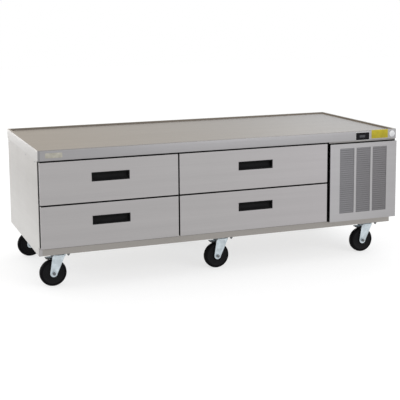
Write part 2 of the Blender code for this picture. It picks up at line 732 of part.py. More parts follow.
def make_drawer(name, front_x, front_z, opening_x, opening_z):
    """A drawer: its front, recessed pull, gasket and open pan frame with runners."""
    back = FACE_Y + FRONT_THICKNESS
    pull_x = centred((front_x[0] + front_x[1]) / 2, PULL_WIDTH)
    pull_z = (front_z[1] - PULL_DROP - PULL_HEIGHT, front_z[1] - PULL_DROP)
    cup_x, cup_z = grown(pull_x, -PULL_FLANGE), grown(pull_z, -PULL_FLANGE)

    shell, inside = sheet_box(front_x, (FACE_Y, back), front_z, SHEET, ("y+",))
    mouth = (grown(cup_x, HOLE_GAP), (FACE_Y - OVERRUN, FACE_Y + SHEET + OVERRUN), grown(cup_z, HOLE_GAP))
    blocks(name + "_front", [shell], [inside, mouth], "stainless")

    cup, hollow = sheet_box(cup_x, (TRIM_Y, FACE_Y + PULL_DEPTH), cup_z, PULL_WALL, ("y-",))
    flange = (pull_x, (TRIM_Y, FACE_Y - SEAT), pull_z)
    behind = (hollow[0], (FACE_Y, hollow[1][1]), hollow[2])
    grip = (hollow[0], (TRIM_Y - OVERRUN, FACE_Y), (hollow[2][0], hollow[2][1] - PULL_LIP))
    blocks(name + "_pull", [cup, flange], [behind, grip], "black_plastic")

    ring_x, ring_z = grown(front_x, -GASKET_INSET), grown(front_z, -GASKET_INSET)
    ring_y = (back + SEAT, FRAME_Y - SEAT)
    within = (grown(ring_x, -GASKET_WIDTH), ring_y, grown(ring_z, -GASKET_WIDTH))
    blocks(name + "_gasket", [(ring_x, ring_y, ring_z)], [within], "gasket_vinyl")

    rest_z = opening_z[1] - CRADLE_DROP
    low_z = rest_z - CRADLE_HEIGHT
    end = CRADLE_BACK
    inset = -SHEET - SEAT
    plate = (grown(front_x, inset), (back - LINER_SHEET, back), grown(front_z, inset))
    frame_x = grown(opening_x, -RUNNER_INSET - RUNNER_WIDTH)
    solid = [plate, (frame_x, (back - LINER_SHEET, end), (low_z, rest_z))]
    for side in (0, 1):
        edge = opening_x[side]
        turn = 1 - 2 * side
        runner = tuple(sorted((edge + turn * RUNNER_INSET, frame_x[side])))
        solid.append((runner, (back - LINER_SHEET, end), runner_heights(opening_z)))
    wall = CRADLE_SHEET
    holes = [
        (grown(frame_x, -wall), (back, end - wall), (low_z - OVERRUN, rest_z - wall)),
        (grown(frame_x, -LEDGE_WIDTH), (back, end - LEDGE_WIDTH), (rest_z - wall, rest_z + OVERRUN)),
    ]
    blocks(name + "_cradle", solid, holes, "liner_steel")


def make_louvre_panel():
    """The bay's front panel, a pan with flanges and three columns of sloping blades."""
    back = FRAME_Y - SEAT
    shell, inside = sheet_box(PANEL_X, (TRIM_Y, back), PANEL_Z, SHEET, ())
    mouth = (grown(PANEL_X, -PANEL_FLANGE), (back - SHEET, back + OVERRUN), grown(PANEL_Z, -PANEL_FLANGE))
    foot, top = PANEL_Z[0] + COLUMN_FOOT_MARGIN, PANEL_Z[1] - COLUMN_TOP_MARGIN
    first = PANEL_X[0] + COLUMN_LEFT_MARGIN
    spacing = (PANEL_X[1] - COLUMN_RIGHT_MARGIN + COLUMN_GAP - first) / COLUMN_COUNT
    windows = []
    for column in range(COLUMN_COUNT):
        left = first + column * spacing
        across = (left, left + spacing - COLUMN_GAP)
        windows.append((across, (TRIM_Y - OVERRUN, TRIM_Y + SHEET), (foot, top)))
    panel = blocks("louvre_panel", [shell], [inside, mouth, *windows], "stainless")
    pitch = (top - foot) / BLADE_COUNT
    rise = pitch * BLADE_RISE_SHARE
    for left, right in (window[0] for window in windows):
        bm = bmesh.new()
        for blade in range(BLADE_COUNT):
            low = foot + (blade + (1 - BLADE_RISE_SHARE) / 2) * pitch
            section = (
                (TRIM_Y + SHEET / 4, low),
                (TRIM_Y + SHEET / 4 + BLADE_DEPTH, low + rise - BLADE_SHEET),
                (TRIM_Y + SHEET / 4 + BLADE_DEPTH, low + rise),
                (TRIM_Y + SHEET / 4, low + BLADE_SHEET),
            )
            sides = (left - BLADE_TENON, right + BLADE_TENON)
            ends = [[bm.verts.new((x, y, z)) for y, z in section] for x in sides]
            bm.faces.new(ends[0])
            bm.faces.new(ends[1])
            for index in range(len(section)):
                after = (index + 1) % len(section)
                bm.faces.new((ends[0][index], ends[0][after], ends[1][after], ends[1][index]))
        cheeks = blocks(
            "cheeks",
            [
                (
                    (left - SHEET, right + SHEET),
                    (TRIM_Y + SHEET / 2, TRIM_Y + SHEET / 2 + BLADE_DEPTH + SHEET),
                    (foot - SHEET, top + SHEET),
                )
            ],
            [
                (
                    (left, right),
                    (TRIM_Y, TRIM_Y + SHEET + BLADE_DEPTH + OVERRUN),
                    (foot, top),
                )
            ],
        )
        combined(panel, "UNION", taken(cheeks), bm)


def make_controller():
    """The controller: a bezel on the apron and its body behind."""
    body_x, body_z = controller_body()
    lap = CONTROLLER_BEZEL_LAP
    bezel = (grown(body_x, lap), (TRIM_Y, FACE_Y - SEAT), grown(body_z, lap))
    body = (body_x, (TRIM_Y, FACE_Y + CONTROLLER_BODY_DEPTH), body_z)
    blocks("temperature_controller", [bezel, body], look="black_plastic")


def fan(name, radius, place, look):
    """A fan with its axis along Y; the hub has a bore for the motor shaft."""
    half = FAN_HUB_LENGTH / 2
    bore = MOTOR_SHAFT_RADIUS + BORE_GAP
    profile = ((bore, -half), (FAN_HUB_RADIUS, -half), (FAN_HUB_RADIUS, half), (bore, half))
    hub = turned(profile, SMALL_ROUND_STEPS, hollow=True)
    obj = new_object(name, moved(hub, turn=ALONG_Y), look)
    bm = bmesh.new()
    for blade in range(FAN_BLADE_COUNT):
        middle = 2 * math.pi * blade / FAN_BLADE_COUNT
        ends = []
        for reach, share in ((FAN_HUB_RADIUS - FAN_BLADE_SHEET, FAN_ROOT_SHARE), (radius, FAN_TIP_SHARE)):
            corners = []
            for side, depth in ((-1, -1), (1, 1)):
                turn = middle + side * share * math.pi / FAN_BLADE_COUNT * 2
                y = depth * FAN_BLADE_DEPTH / 2 * share / FAN_TIP_SHARE
                for skin in (-1, 1):
                    lift = skin * FAN_BLADE_SHEET / 2
                    corners.append(bm.verts.new((reach * math.cos(turn), y + lift, reach * math.sin(turn))))
            ends.append([corners[0], corners[1], corners[3], corners[2]])
        bm.faces.new(ends[0])
        bm.faces.new(ends[1])
        for index in range(4):
            after = (index + 1) % 4
            bm.faces.new((ends[0][index], ends[0][after], ends[1][after], ends[1][index]))
    bmesh.ops.triangulate(bm, faces=bm.faces)
    combined(obj, "UNION", bm)
    obj.location = place
    round_shaded(obj)


def make_condensing_unit():
    """The tray, coil, fan shroud with its motor, fan, compressor, condensate pan and control box."""
    shell, inside = sheet_box(TRAY_X, TRAY_Y, (FLOOR_Z, FLOOR_Z + TRAY_EDGE), BASE_SHEET, ("z+",))
    blocks("condensing_unit_tray", [shell], [inside], "zinc")

    coil_x = COIL_X
    coil_y = (COIL_Y, COIL_Y + COIL_DEPTH)
    coil_z = (TRAY_Z, TRAY_Z + COIL_HEIGHT)
    lip = COIL_PLATE_LIP
    plates = [
        (x, (coil_y[0] - lip, coil_y[1]), coil_z)
        for x in ((coil_x[0], coil_x[0] + COIL_PLATE), (coil_x[1] - COIL_PLATE, coil_x[1]))
    ]
    blocks("condenser_coil", [(coil_x, coil_y, (coil_z[0], coil_z[1] - lip)), *plates], look="aluminium")

    shell, inside = sheet_box(coil_x, SHROUD_Y, coil_z, SHROUD_SHEET, ("y-",))
    shroud = blocks("condenser_fan_shroud", [shell], [inside], "black_paint")
    middle = Vector(((coil_x[0] + coil_x[1]) / 2, 0, (coil_z[0] + coil_z[1]) / 2))
    through = grown((SHROUD_Y[1] - SHROUD_SHEET, SHROUD_Y[1]), OVERRUN)
    mouth = cylinder(SHROUD_MOUTH_RADIUS, *through, ROUND_STEPS)
    combined(shroud, "DIFFERENCE", moved(mouth, middle, ALONG_Y))
    fan_y = SHROUD_Y[1]
    motor = turned(
        (
            (0, fan_y),
            (MOTOR_SHAFT_RADIUS, fan_y),
            (MOTOR_SHAFT_RADIUS, MOTOR_Y),
            (MOTOR_RADIUS, MOTOR_Y),
            (MOTOR_RADIUS, MOTOR_END),
            (0, MOTOR_END),
        ),
        SMALL_ROUND_STEPS,
    )
    arm_y = (MOTOR_Y + SHROUD_SHEET, MOTOR_Y + SHROUD_SHEET + MOTOR_ARM_WIDTH)
    half = MOTOR_ARM_WIDTH / 2
    reach = SHROUD_MOUTH_RADIUS + MOTOR_ARM_WIDTH
    arm_z = (middle.z - half, middle.z + half)
    arms = blocks(
        "arms",
        [((middle.x - reach, middle.x + reach), arm_y, arm_z)]
        + [
            (side, (SHROUD_Y[1] - SHROUD_SHEET / 2, arm_y[1]), arm_z)
            for side in (
                (middle.x - reach, middle.x - reach + SHROUD_SHEET * 2),
                (middle.x + reach - SHROUD_SHEET * 2, middle.x + reach),
            )
        ],
    )
    combined(shroud, "UNION", taken(arms), moved(motor, middle, ALONG_Y))
    round_shaded(shroud)
    fan_place = (middle.x, fan_y, middle.z)
    fan("condenser_fan", FAN_RADIUS, fan_place, "aluminium")

    make_compressor()
    pan_x = grown(TRAY_X, -CONDENSATE_SIDE_GAP)
    pan_y = (CONDENSATE_FRONT, CONDENSATE_BACK)
    shell, inside = sheet_box(pan_x, pan_y, (TRAY_Z, TRAY_Z + CONDENSATE_HEIGHT), SHEET, ("z+",))
    blocks("condensate_pan", [shell], [inside], "liner_steel")

    box_top = CABINET_TOP - CONTROL_BOX_TOP_GAP
    box_y = TRAY_Y[0] + CONTROL_BOX_PLACE_Y
    blocks(
        "control_box",
        [
            (
                (BAY_X, BAY_X + CONTROL_BOX_WIDTH),
                (box_y, box_y + CONTROL_BOX_LENGTH),
                (box_top - CONTROL_BOX_HEIGHT, box_top),
            )
        ],
        look="aluminium",
    )
    gland = turned(
        (
            (GLAND_BORE_RADIUS, -GLAND_INSIDE),
            (GLAND_RADIUS, -GLAND_INSIDE),
            (GLAND_RADIUS, SEAT),
            (GLAND_FLANGE_RADIUS, SEAT),
            (GLAND_FLANGE_RADIUS, GLAND_FLANGE_HEIGHT),
            (GLAND_BORE_RADIUS, GLAND_FLANGE_HEIGHT),
        ),
        SMALL_ROUND_STEPS,
        hollow=True,
    )
    moved(gland, (GLAND_X, BACK_Y, GLAND_Z), ALONG_Y)
    round_shaded(new_object("power_cord_gland", gland, "black_plastic"))


def make_compressor():
    """The hermetic compressor on its foot plate and rubber grommets, with the suction stub."""
    x, y, foot, low = COMPRESSOR_X, COMPRESSOR_Y, FOOT_Z, CAN_Z
    dome = COMPRESSOR_DOME
    top = low + COMPRESSOR_HEIGHT
    profile = [(0, low), (COMPRESSOR_RADIUS * DOME_SHARES[-1][0], low)]
    for out, up in reversed(DOME_SHARES):
        profile.append((COMPRESSOR_RADIUS * out, low + dome * (1 - up)))
    for out, up in DOME_SHARES:
        profile.append((COMPRESSOR_RADIUS * out, top - dome * (1 - up)))
    profile = list(dict.fromkeys(profile)) + [(0, top)]
    can = new_object("compressor", moved(turned(profile, ROUND_STEPS), (x, y, 0)), "black_paint")
    half_x, half_y = COMPRESSOR_FOOT_WIDTH / 2, COMPRESSOR_FOOT_LENGTH / 2
    plate = blocks(
        "plate",
        [(grown((x, x), half_x), grown((y, y), half_y), (foot, foot + COMPRESSOR_FOOT_SHEET))],
    )
    combined(can, "UNION", taken(plate))
    for side_x in (-1, 1):
        for side_y in (-1, 1):
            place = (x + side_x * (half_x - GROMMET_INSET), y + side_y * (half_y - GROMMET_INSET), 0)
            grommet = cylinder(GROMMET_RADIUS, TRAY_Z, foot + COMPRESSOR_FOOT_SHEET / 2, SMALL_ROUND_STEPS)
            combined(can, "UNION", moved(grommet, place))
    stub = cylinder(STUB_RADIUS, -COMPRESSOR_RADIUS - STUB_LENGTH, -COMPRESSOR_RADIUS * DOME_SHARES[-1][0])
    combined(can, "UNION", moved(stub, (x, y, low + STUB_RISE), ALONG_X))
    round_shaded(can)


def make_evaporator():
    """The coil, its cover with the fan motor, the fan and the line to the compressor."""
    shell, inside = sheet_box(EVAP_X, EVAP_Y, EVAP_Z, EVAP_SHEET, ("y+",))
    slot_x = (EVAP_X[1] - EVAP_SHEET - OVERRUN - EVAP_SLOT_WIDTH, EVAP_X[1] - EVAP_SHEET - OVERRUN)
    middle_z = (EVAP_Z[0] + EVAP_Z[1]) / 2
    lowest, highest = grown(EVAP_Z, -EVAP_SLOT_MARGIN)
    rows = range(round((highest - lowest) / EVAP_SLOT_PITCH) + 1)
    heights = [centred(lowest + row * EVAP_SLOT_PITCH, EVAP_SLOT_HEIGHT) for row in rows]
    slots = [(slot_x, (EVAP_Y[0] - OVERRUN, EVAP_Y[0] + EVAP_SHEET), height) for height in heights]
    cover = blocks(
        "evaporator_cover",
        [shell],
        [inside, line_hole((EVAP_X[1] - EVAP_SHEET, EVAP_X[1])), *slots],
        "liner_steel",
    )
    x = EVAP_X[0] + EVAP_FAN_PLACE
    mouth = cylinder(EVAP_MOUTH_RADIUS, EVAP_Y[0] - OVERRUN, EVAP_Y[0] + EVAP_SHEET + OVERRUN, ROUND_STEPS)
    combined(cover, "DIFFERENCE", moved(mouth, (x, 0, middle_z), ALONG_Y))
    fan_y = EVAP_Y[0] + FAN_HUB_LENGTH
    motor_y = fan_y + FAN_HUB_LENGTH / 2 + MOTOR_BACK_GAP
    motor = turned(
        (
            (0, fan_y),
            (MOTOR_SHAFT_RADIUS, fan_y),
            (MOTOR_SHAFT_RADIUS, motor_y),
            (EVAP_MOTOR_RADIUS, motor_y),
            (EVAP_MOTOR_RADIUS, motor_y + EVAP_MOTOR_LENGTH),
            (0, motor_y + EVAP_MOTOR_LENGTH),
        ),
        SMALL_ROUND_STEPS,
    )
    half = EVAP_ARM_WIDTH / 2
    arms = blocks(
        "arms",
        [
            (
                (x - half, x + half),
                (motor_y + EVAP_SHEET, motor_y + EVAP_SHEET + EVAP_ARM_WIDTH),
                (EVAP_Z[0] + EVAP_SHEET / 2, EVAP_Z[1] - EVAP_SHEET / 2),
            )
        ],
    )
    combined(cover, "UNION", taken(arms), moved(motor, (x, 0, middle_z), ALONG_Y))
    round_shaded(cover)
    fan("evaporator_fan", EVAP_FAN_RADIUS, (x, fan_y, middle_z), "black_plastic")

    coil_x = (EVAP_X[0] + EVAP_COIL_START, EVAP_X[1] - EVAP_COIL_GAP)
    coil_y = (LINER_BACK - SEAT - EVAP_COIL_DEPTH, LINER_BACK - SEAT)
    coil_z = grown(EVAP_Z, -EVAP_COIL_MARGIN)
    lip = COIL_PLATE_LIP
    plates = [
        (ends, coil_y, (EVAP_Z[0] + EVAP_SHEET + SEAT, coil_z[1] + lip))
        for ends in ((coil_x[0], coil_x[0] + COIL_PLATE), (coil_x[1] - COIL_PLATE, coil_x[1]))
    ]
    blocks("evaporator_coil", [(coil_x, coil_y, coil_z), *plates], look="aluminium")
    make_line(coil_x[1] + SEAT)


def make_line(start_x):
    """The insulated suction line from the evaporator, through the wall, to the compressor."""
    end_x = COMPRESSOR_X - COMPRESSOR_RADIUS - STUB_LENGTH - SEAT
    end_y, end_z = COMPRESSOR_Y, CAN_Z + STUB_RISE
    drop_x = (BAY_X + end_x) / 2
    points = (
        (start_x, LINE_Y, LINE_Z),
        (drop_x - LINE_RADIUS, LINE_Y, LINE_Z),
        (drop_x, LINE_Y - LINE_BEND, LINE_Z),
        (drop_x, end_y + LINE_BEND, end_z),
        (end_x - LINE_RADIUS, end_y, end_z),
        (end_x, end_y, end_z),
    )
    curve = bpy.data.curves.new("suction_line", "CURVE")
    curve.dimensions = "3D"
    curve.resolution_u = LINE_POINTS_PER_BEND
    curve.bevel_depth = LINE_RADIUS
    curve.bevel_resolution = LINE_ROUND_STEPS
    curve.use_fill_caps = True
    spline = curve.splines.new("BEZIER")
    spline.bezier_points.add(len(points[1:]))
    for knot, place in zip(spline.bezier_points, points):
        knot.co = place
        knot.handle_left_type = knot.handle_right_type = "AUTO"
    for index in (0, 1, -2, -1):
        knot = spline.bezier_points[index]
        knot.handle_left_type = knot.handle_right_type = "FREE"
        knot.handle_left = knot.co - Vector((LINE_HANDLE, 0, 0))
        knot.handle_right = knot.co + Vector((LINE_HANDLE, 0, 0))
    curve.materials.append(finish("line_foam"))
    bpy.context.scene.collection.objects.link(bpy.data.objects.new("suction_line", curve))


def make_caster_mount(name, x):
    """The strap under the base with the two caster plates, their races and kingpins."""
    solid = [(centred(x, CASTER_STRAP_WIDTH), (-CASTER_Y, CASTER_Y), PLATE_Z)]
    for y in (-CASTER_Y, CASTER_Y):
        solid.append((centred(x, PLATE_LENGTH), centred(y, PLATE_WIDTH), PLATE_Z))
    mount = blocks(name, solid, look="zinc")
    head = CROWN_Z - SEAT
    for y in (-CASTER_Y, CASTER_Y):
        pin = turned(
            (
                (0, head - KINGPIN_HEAD_HEIGHT),
                (KINGPIN_HEAD_RADIUS, head - KINGPIN_HEAD_HEIGHT),
                (KINGPIN_HEAD_RADIUS, head),
                (KINGPIN_RADIUS, head),
                (KINGPIN_RADIUS, RACE_Z),
                (RACE_RADIUS, RACE_Z),
                (RACE_RADIUS, PLATE_Z[0] + PLATE_THICKNESS / 2),
                (0, PLATE_Z[0] + PLATE_THICKNESS / 2),
            ),
            ROUND_STEPS,
        )
        combined(mount, "UNION", moved(pin, (x, y, 0)))
    round_shaded(mount)


def make_fork(name, x, y):
    """The swivel fork: crown, two arms and the axle. Its origin is on the swivel axis."""
    axle_x, axle_z = x - TRAIL, WHEEL_DIAMETER / 2
    bore = KINGPIN_RADIUS + BORE_GAP
    high = CROWN_Z + CROWN_THICKNESS
    crown = turned(
        ((bore, CROWN_Z), (CROWN_RADIUS, CROWN_Z), (CROWN_RADIUS, high), (bore, high)),
        ROUND_STEPS,
        hollow=True,
    )
    fork = new_object(name, moved(crown, (x, y, 0)), "zinc")
    top = CROWN_Z + CROWN_THICKNESS / 2
    turns = [math.pi + 2 * math.pi * step / SMALL_ROUND_STEPS for step in range(SMALL_ROUND_STEPS // 2 + 1)]
    foot = [(axle_x + ARM_FOOT_RADIUS * math.cos(a), axle_z + ARM_FOOT_RADIUS * math.sin(a)) for a in turns]
    outline = [(axle_x - ARM_TOP_TRAIL, top), *foot, (axle_x + ARM_TOP_LEAD, top)]
    inner = WHEEL_WIDTH / 2 + ARM_GAP
    outer = inner + ARM_SHEET
    for near, far in ((y - outer, y - inner), (y + inner, y + outer)):
        combined(fork, "UNION", prism(outline, near, far))
    axle = turned(
        (
            (0, -outer - AXLE_HEAD_HEIGHT),
            (AXLE_HEAD_RADIUS, -outer - AXLE_HEAD_HEIGHT),
            (AXLE_HEAD_RADIUS, -outer + ARM_SHEET / 2),
            (AXLE_RADIUS, -outer + ARM_SHEET / 2),
            (AXLE_RADIUS, outer - ARM_SHEET / 2),
            (AXLE_HEAD_RADIUS, outer - ARM_SHEET / 2),
            (AXLE_HEAD_RADIUS, outer + AXLE_HEAD_HEIGHT),
            (0, outer + AXLE_HEAD_HEIGHT),
        ),
        SMALL_ROUND_STEPS,
    )
    combined(fork, "UNION", moved(axle, (axle_x, y, axle_z), ALONG_Y))
    round_shaded(at_origin(fork, (x, y, CROWN_Z)))


def make_wheel(name, x, y):
    """A solid rubber wheel with a plain bore. Its origin is on the axle."""
    radius, half = WHEEL_DIAMETER / 2, WHEEL_WIDTH / 2
    bore = AXLE_RADIUS + BORE_GAP
    low, rim = half - WHEEL_RECESS, radius - WHEEL_RIM
    side = ((bore, half), (HUB_RADIUS, half), (HUB_RADIUS, low), (rim, low), (rim + WHEEL_RECESS, half))
    tread = ((radius - WHEEL_ROUND, half), (radius, half - WHEEL_ROUND))
    profile = [*side, *tread] + [(r, -h) for r, h in reversed((*side, *tread))]
    wheel = turned(profile, ROUND_STEPS, hollow=True)
    obj = new_object(name, moved(wheel, turn=ALONG_Y), "wheel_rubber")
    obj.location = (x, y, radius)
    round_shaded(obj)


def make_brake(name, x, y):
    """The foot pedal of a wheel brake. Its origin is on the pin between the fork's arms."""
    pivot = (x - TRAIL - PEDAL_PIVOT_BACK, y, CROWN_Z - PEDAL_PIVOT_DROP)
    half = WHEEL_WIDTH / 2 + ARM_GAP - SEAT
    barrel = moved(cylinder(PEDAL_BARREL_RADIUS, -half, half), turn=ALONG_Y)
    pedal = new_object(name, barrel, "black_paint")
    side = PEDAL_WIDTH / 2
    tread = blocks(
        "tread",
        [
            ((-PEDAL_REACH, 0), (-side, side), (-PEDAL_SHEET / 2, PEDAL_SHEET / 2)),
            (
                (-SHOE_PLACE - SHOE_LENGTH / 2, -SHOE_PLACE + SHOE_LENGTH / 2),
                (-side / 2, side / 2),
                (-PEDAL_SHEET / 2 - SHOE_DEPTH, 0),
            ),
        ],
    )
    combined(pedal, "UNION", taken(tread))
    pedal.location = pivot
    round_shaded(pedal)


def make_casters():
    """Six casters on three straps, with brakes on the front row."""
    for place, x in (("left", -CASTER_X), ("middle", 0.0), ("right", CASTER_X)):
        make_caster_mount(f"caster_mount_{place}", x)
        for row, y in (("front", -CASTER_Y), ("rear", CASTER_Y)):
            make_fork(f"caster_fork_{row}_{place}", x, y)
            make_wheel(f"caster_wheel_{row}_{place}", x - TRAIL, y)
        make_brake(f"brake_pedal_{place}", x, -CASTER_Y)


def main():
    clear_scene()
    make_worktop()
    make_outer_panels()
    make_insulated_walls()
    make_tracks()
    for row, (front_z, opening_z) in ROWS.items():
        for column, (front_x, opening_x) in COLUMNS.items():
            make_drawer(f"{row}_{column}_drawer", front_x, front_z, opening_x, opening_z)
    make_louvre_panel()
    make_controller()
    make_condensing_unit()
    make_evaporator()
    make_casters()


main()
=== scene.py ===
"""Studio scene of a refrigerated chef base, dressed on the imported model. Metres, +Z up, front at -Y."""

import math

import bmesh
import bpy
from mathutils import Matrix, Vector


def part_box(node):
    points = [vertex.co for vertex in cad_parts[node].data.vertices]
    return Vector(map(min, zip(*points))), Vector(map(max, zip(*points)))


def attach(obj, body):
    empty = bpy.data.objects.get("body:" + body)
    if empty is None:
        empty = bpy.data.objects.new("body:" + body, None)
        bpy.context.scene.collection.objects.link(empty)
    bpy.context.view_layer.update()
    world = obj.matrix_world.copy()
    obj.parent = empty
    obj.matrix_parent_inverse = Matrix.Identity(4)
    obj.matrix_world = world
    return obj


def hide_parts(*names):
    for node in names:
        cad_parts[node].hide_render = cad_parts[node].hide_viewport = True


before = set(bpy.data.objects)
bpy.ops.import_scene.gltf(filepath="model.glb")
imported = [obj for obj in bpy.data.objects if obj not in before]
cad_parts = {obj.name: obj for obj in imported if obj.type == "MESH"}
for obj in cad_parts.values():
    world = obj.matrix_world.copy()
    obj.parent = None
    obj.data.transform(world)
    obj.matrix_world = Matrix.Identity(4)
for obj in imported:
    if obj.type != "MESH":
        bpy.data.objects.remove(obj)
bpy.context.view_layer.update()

# The camera, solved from the photograph's edges
CAMERA_YAW = math.radians(21.32)
CAMERA_PITCH = math.radians(8.34)
CAMERA_ROLL = math.radians(-0.332)
CAMERA_DISTANCE = 5.043
CAMERA_ASIDE = -0.0736
CAMERA_BELOW = -0.2677
CAMERA_AIM_HEIGHT = 0.33
CAMERA_LENS = 86.69
CAMERA_SHIFT = (-0.0373, -0.15)

# The studio, its lamps as place, aim, size, power and colour
FLOOR_HALF = 14.0
FLOOR_TONE = 0.4
FLOOR_LIFT = 0.67
WORLD_LEVEL = 0.84
SEEN_WORLD_LEVEL = 1.0
LAMPS = {
    "left_softbox": ((-5.6, 0.6, 1.9), (-0.9, 0.0, 0.4), (5.0, 3.4), 60.0, (1.0, 0.985, 0.965)),
    "rear_softbox": ((-2.8, 5.6, 1.6), (-0.9, 0.0, 0.3), (3.4, 2.6), 60.0, (1.0, 0.985, 0.965)),
    "front_softbox": ((3.2, -6.0, 3.2), (0.6, -0.4, 0.35), (4.8, 3.6), 104.0, (0.955, 0.965, 1.0)),
    "top_softbox": ((2.8, 2.4, 3.2), (0.5, 0.1, 0.6), (2.6, 2.0), 20.0, (1.0, 1.0, 1.0)),
}

# The middle of the noise's range, which the looks spread over their tones
NOISE_MIDDLE = (0.3, 0.7)

# Sheet edges, black strips of painted gap shade, and screws
EDGE = 0.0007
FOLD = 0.0022
SKIN = 0.0003
SOFT = 0.0004
GAP_SHADE_STRIP = 0.001
GASKET_LIP = 0.008
GASKET_DEPTH = 0.006
PANEL_SCREW = 0.0036
COVER_SCREW = 0.0038
BACK_SCREW = 0.004
SCREW_HEIGHT_SHARE = 0.42
SCREW_SHARES = ((0, 0.5), (0.4, 0.5), (0.5, 1.0), (0.75, 0.95), (0.95, 0.6), (1.0, 0))
SIDE_SCREW_SHARES = (0.06, 0.36, 0.66, 0.94)
BACK_SCREW_SHARES = (0.02, 0.18, 0.34, 0.5, 0.66, 0.82, 0.98)
SCREW_DROP = 0.012
SCREW_RISE = 0.014

# The top sheet and its apron; faces that point up less than WALL are upright, more than LEVEL flat
TOP_SHEET = 0.002
RIM_WIDTH = 0.019
RIM_HEIGHT = 0.008
RIM_SLOPE = 0.006
RIM_ROUND = 0.003
HEM_ROUND = 0.0006
CREST_ROUND = (0.0012, 0.0005)
VALLEY_ROUND = (0.0004, 0.0009)
FRONT_CORNER = 0.012
REAR_CORNER = 0.004
CORNER_STEPS = 8
APRON_RETURN = 0.0355
WALL, LEVEL = 0.15, 0.9
LABEL_SIZE = (0.096, 0.043)
LABEL_RIGHT = 0.053
LABEL_BEND = 0.003
DISC_RADIUS = 0.016
DISC_THICK = 0.0005
DISC_RIGHT = 0.0275
DISC_DROP = 0.024
PLATE_HALF = (0.039, 0.0115)
PLATE_LEFT = 0.034
PLATE_DROP = 0.0005
PLATE_CORNER = 0.004
PLATE_STEPS = ((0.0, 0.0), (0.0, 0.0008), (0.0006, 0.0012), (0.0022, 0.0012), (0.0026, 0.0009))

# The louvred panel, from its lower left corner; a blade's section as depth and share of the pitch
PANEL_SHEET = 0.0015
PANEL_FLANGE = 0.015
PANEL_INSET = 0.0012
# The black strips at the panel's left and top edges are painted shade in the gaps.
PANEL_SEAL = 0.004
SEAL_SHARE = 0.4
SEAL_SETBACKS = (0.009, 0.006)
SEAL_END = 0.006
COLUMN_X = ((0.0555, 0.1372), (0.1497, 0.2313), (0.2438, 0.3255))
COLUMN_Z = (0.042, 0.375)
BLADE_COUNT = 31
BLADE_LAP = 0.0004
BLADE_SECTION = (
    (0.0005, 0.03), (0.0003, 0.1), (0.0007, 0.3), (0.0014, 0.64), (0.0023, 0.95),
    (0.0033, 0.92), (0.0024, 0.62), (0.0015, 0.28), (0.0012, 0.06),
)
# The header is a strip of darker steel under the apron: painted shade.
HEADER_DROP = 0.0068
HEADER_DEPTH = (0.006, 0.0075)
FILTER_INSET = 0.03
FILTER_DROP = 0.012
FILTER_DEPTH = (0.01, 0.004)
RAIL_SETBACK = 0.018
RAIL_CAP = 0.016
RAIL_HEIGHT = 0.0405

# The pulls and the controller
PULL_EDGE = 0.0045
PULL_DEPTH = 0.0195
PULL_WALL = 0.002
PULL_ROUND = 0.0005
PULL_LIP = 0.0004
PULL_STEP = 0.0008
PULL_CURVE = 0.72
PULL_STEPS = 9
BEZEL_CORNER = 0.003
BEZEL_STEPS = ((-0.0012, 0.0016), (0.0, 0.0016), (0.0, 0.0006), (-0.0006, 0.0))
SURROUND_STEPS = ((0.0002, 0.0), (0.0002, 0.001), (0.0028, 0.0007), (0.0028, 0.0))
WINDOW_DEPTH = 0.0008
WINDOW_SHARES = (0.44, 0.36)
WINDOW_ASIDE = 0.04
WINDOW_CORNER = 0.0015
WINDOW_SLOPE = 0.0005
SEGMENT_SPACING = (0.5, 0.55)
SEGMENT_HALF = (0.15, 0.0005)
SEGMENT_PROUD = 0.00025
KEY_COUNT = 4
KEY_START, KEY_PITCH, KEY_RISE = -0.66, 0.44, 0.22
KEY_HALF = (0.0042, 0.0013)
KEY_DEPTH = 0.0012
KEY_ROUND = 0.0005

# The casters; the hub's profile as radius and share of half the wheel's width
WHEEL_SEGMENTS = 72
HUB_PROFILE = (
    (0.0066, 0.98), (0.0095, 1.0), (0.0185, 1.0), (0.0195, 0.92), (0.0205, 0.8), (0.025, 0.76),
    (0.043, 0.78), (0.0455, 0.84), (0.0485, 0.95), (0.05, 0.955), (0.051, 0.93), (0.0525, 0.955),
)
HUB_RADIUS = 0.0505
TREAD_ROUND = (0.008, 0.01)
TREAD_SHARE = 0.965
WASHER = 0.0015
NUT_RADIUS = 0.0075
NUT_HEIGHT = 0.0065
WASHER_SHARE = 1.3
BOLT_RADIUS = 0.004
BOLT_END = 0.004
MOUNT_Y = 0.29
PLATE_HOLES = (0.0385, 0.0335)
PLATE_THICKNESS = 0.0034
AXLE_NUT = ((0, -0.0002), (0.0068, -0.0002), (0.008, -0.0008), (0.008, -0.0032))
TRAIL = 0.03
RACE_RING = (0.03, 0.0024)
RACE_DROP = 0.0014
SPRING_X = (0.001, 0.03)
SPRING_INSET = 0.006
SPRING_RISE = 0.0095
SPRING_PLATE = 0.0009

# The machine bay and the evaporator; a guard's legs as distance from the axis and depth
PLENUM = 0.0453
BAY_GUARD_WIRES = (0.0011, 0.0014)
BAY_GUARD_RADII = (0.034, 0.052, 0.07, 0.088, 0.106, 0.124)
BAY_GUARD_Y = 0.0345
BAY_GUARD_LEGS = ((0.03, 0.036), (0.123, 0.036), (0.135, 0.025), (0.135, 0.0015))
COLD_GUARD_WIRES = (0.001, 0.0012)
COLD_GUARD_RADII = (0.016, 0.03, 0.044, 0.058, 0.07)
COLD_GUARD_LEGS = ((0.014, -0.004), (0.073, -0.004), (0.073, 0.0))
BEND_COUNT = 9
BEND_START, BEND_PITCH = 0.026, 0.031
BEND_ASIDE = 0.004
BEND_REACH, BEND_HALF = 0.0085, 0.012
BEND_PIPE = 0.0035
BEND_STEPS = 6
LINE_PIPE = 0.004
TERMINAL_BOX = ((0.068, 0.094), (-0.032, 0.014), (0.09, 0.14))
TERMINAL_ROUND = 0.004
COVER_INSET = 0.01
BOX_INSET = 0.012
GLAND_INSET = 0.05
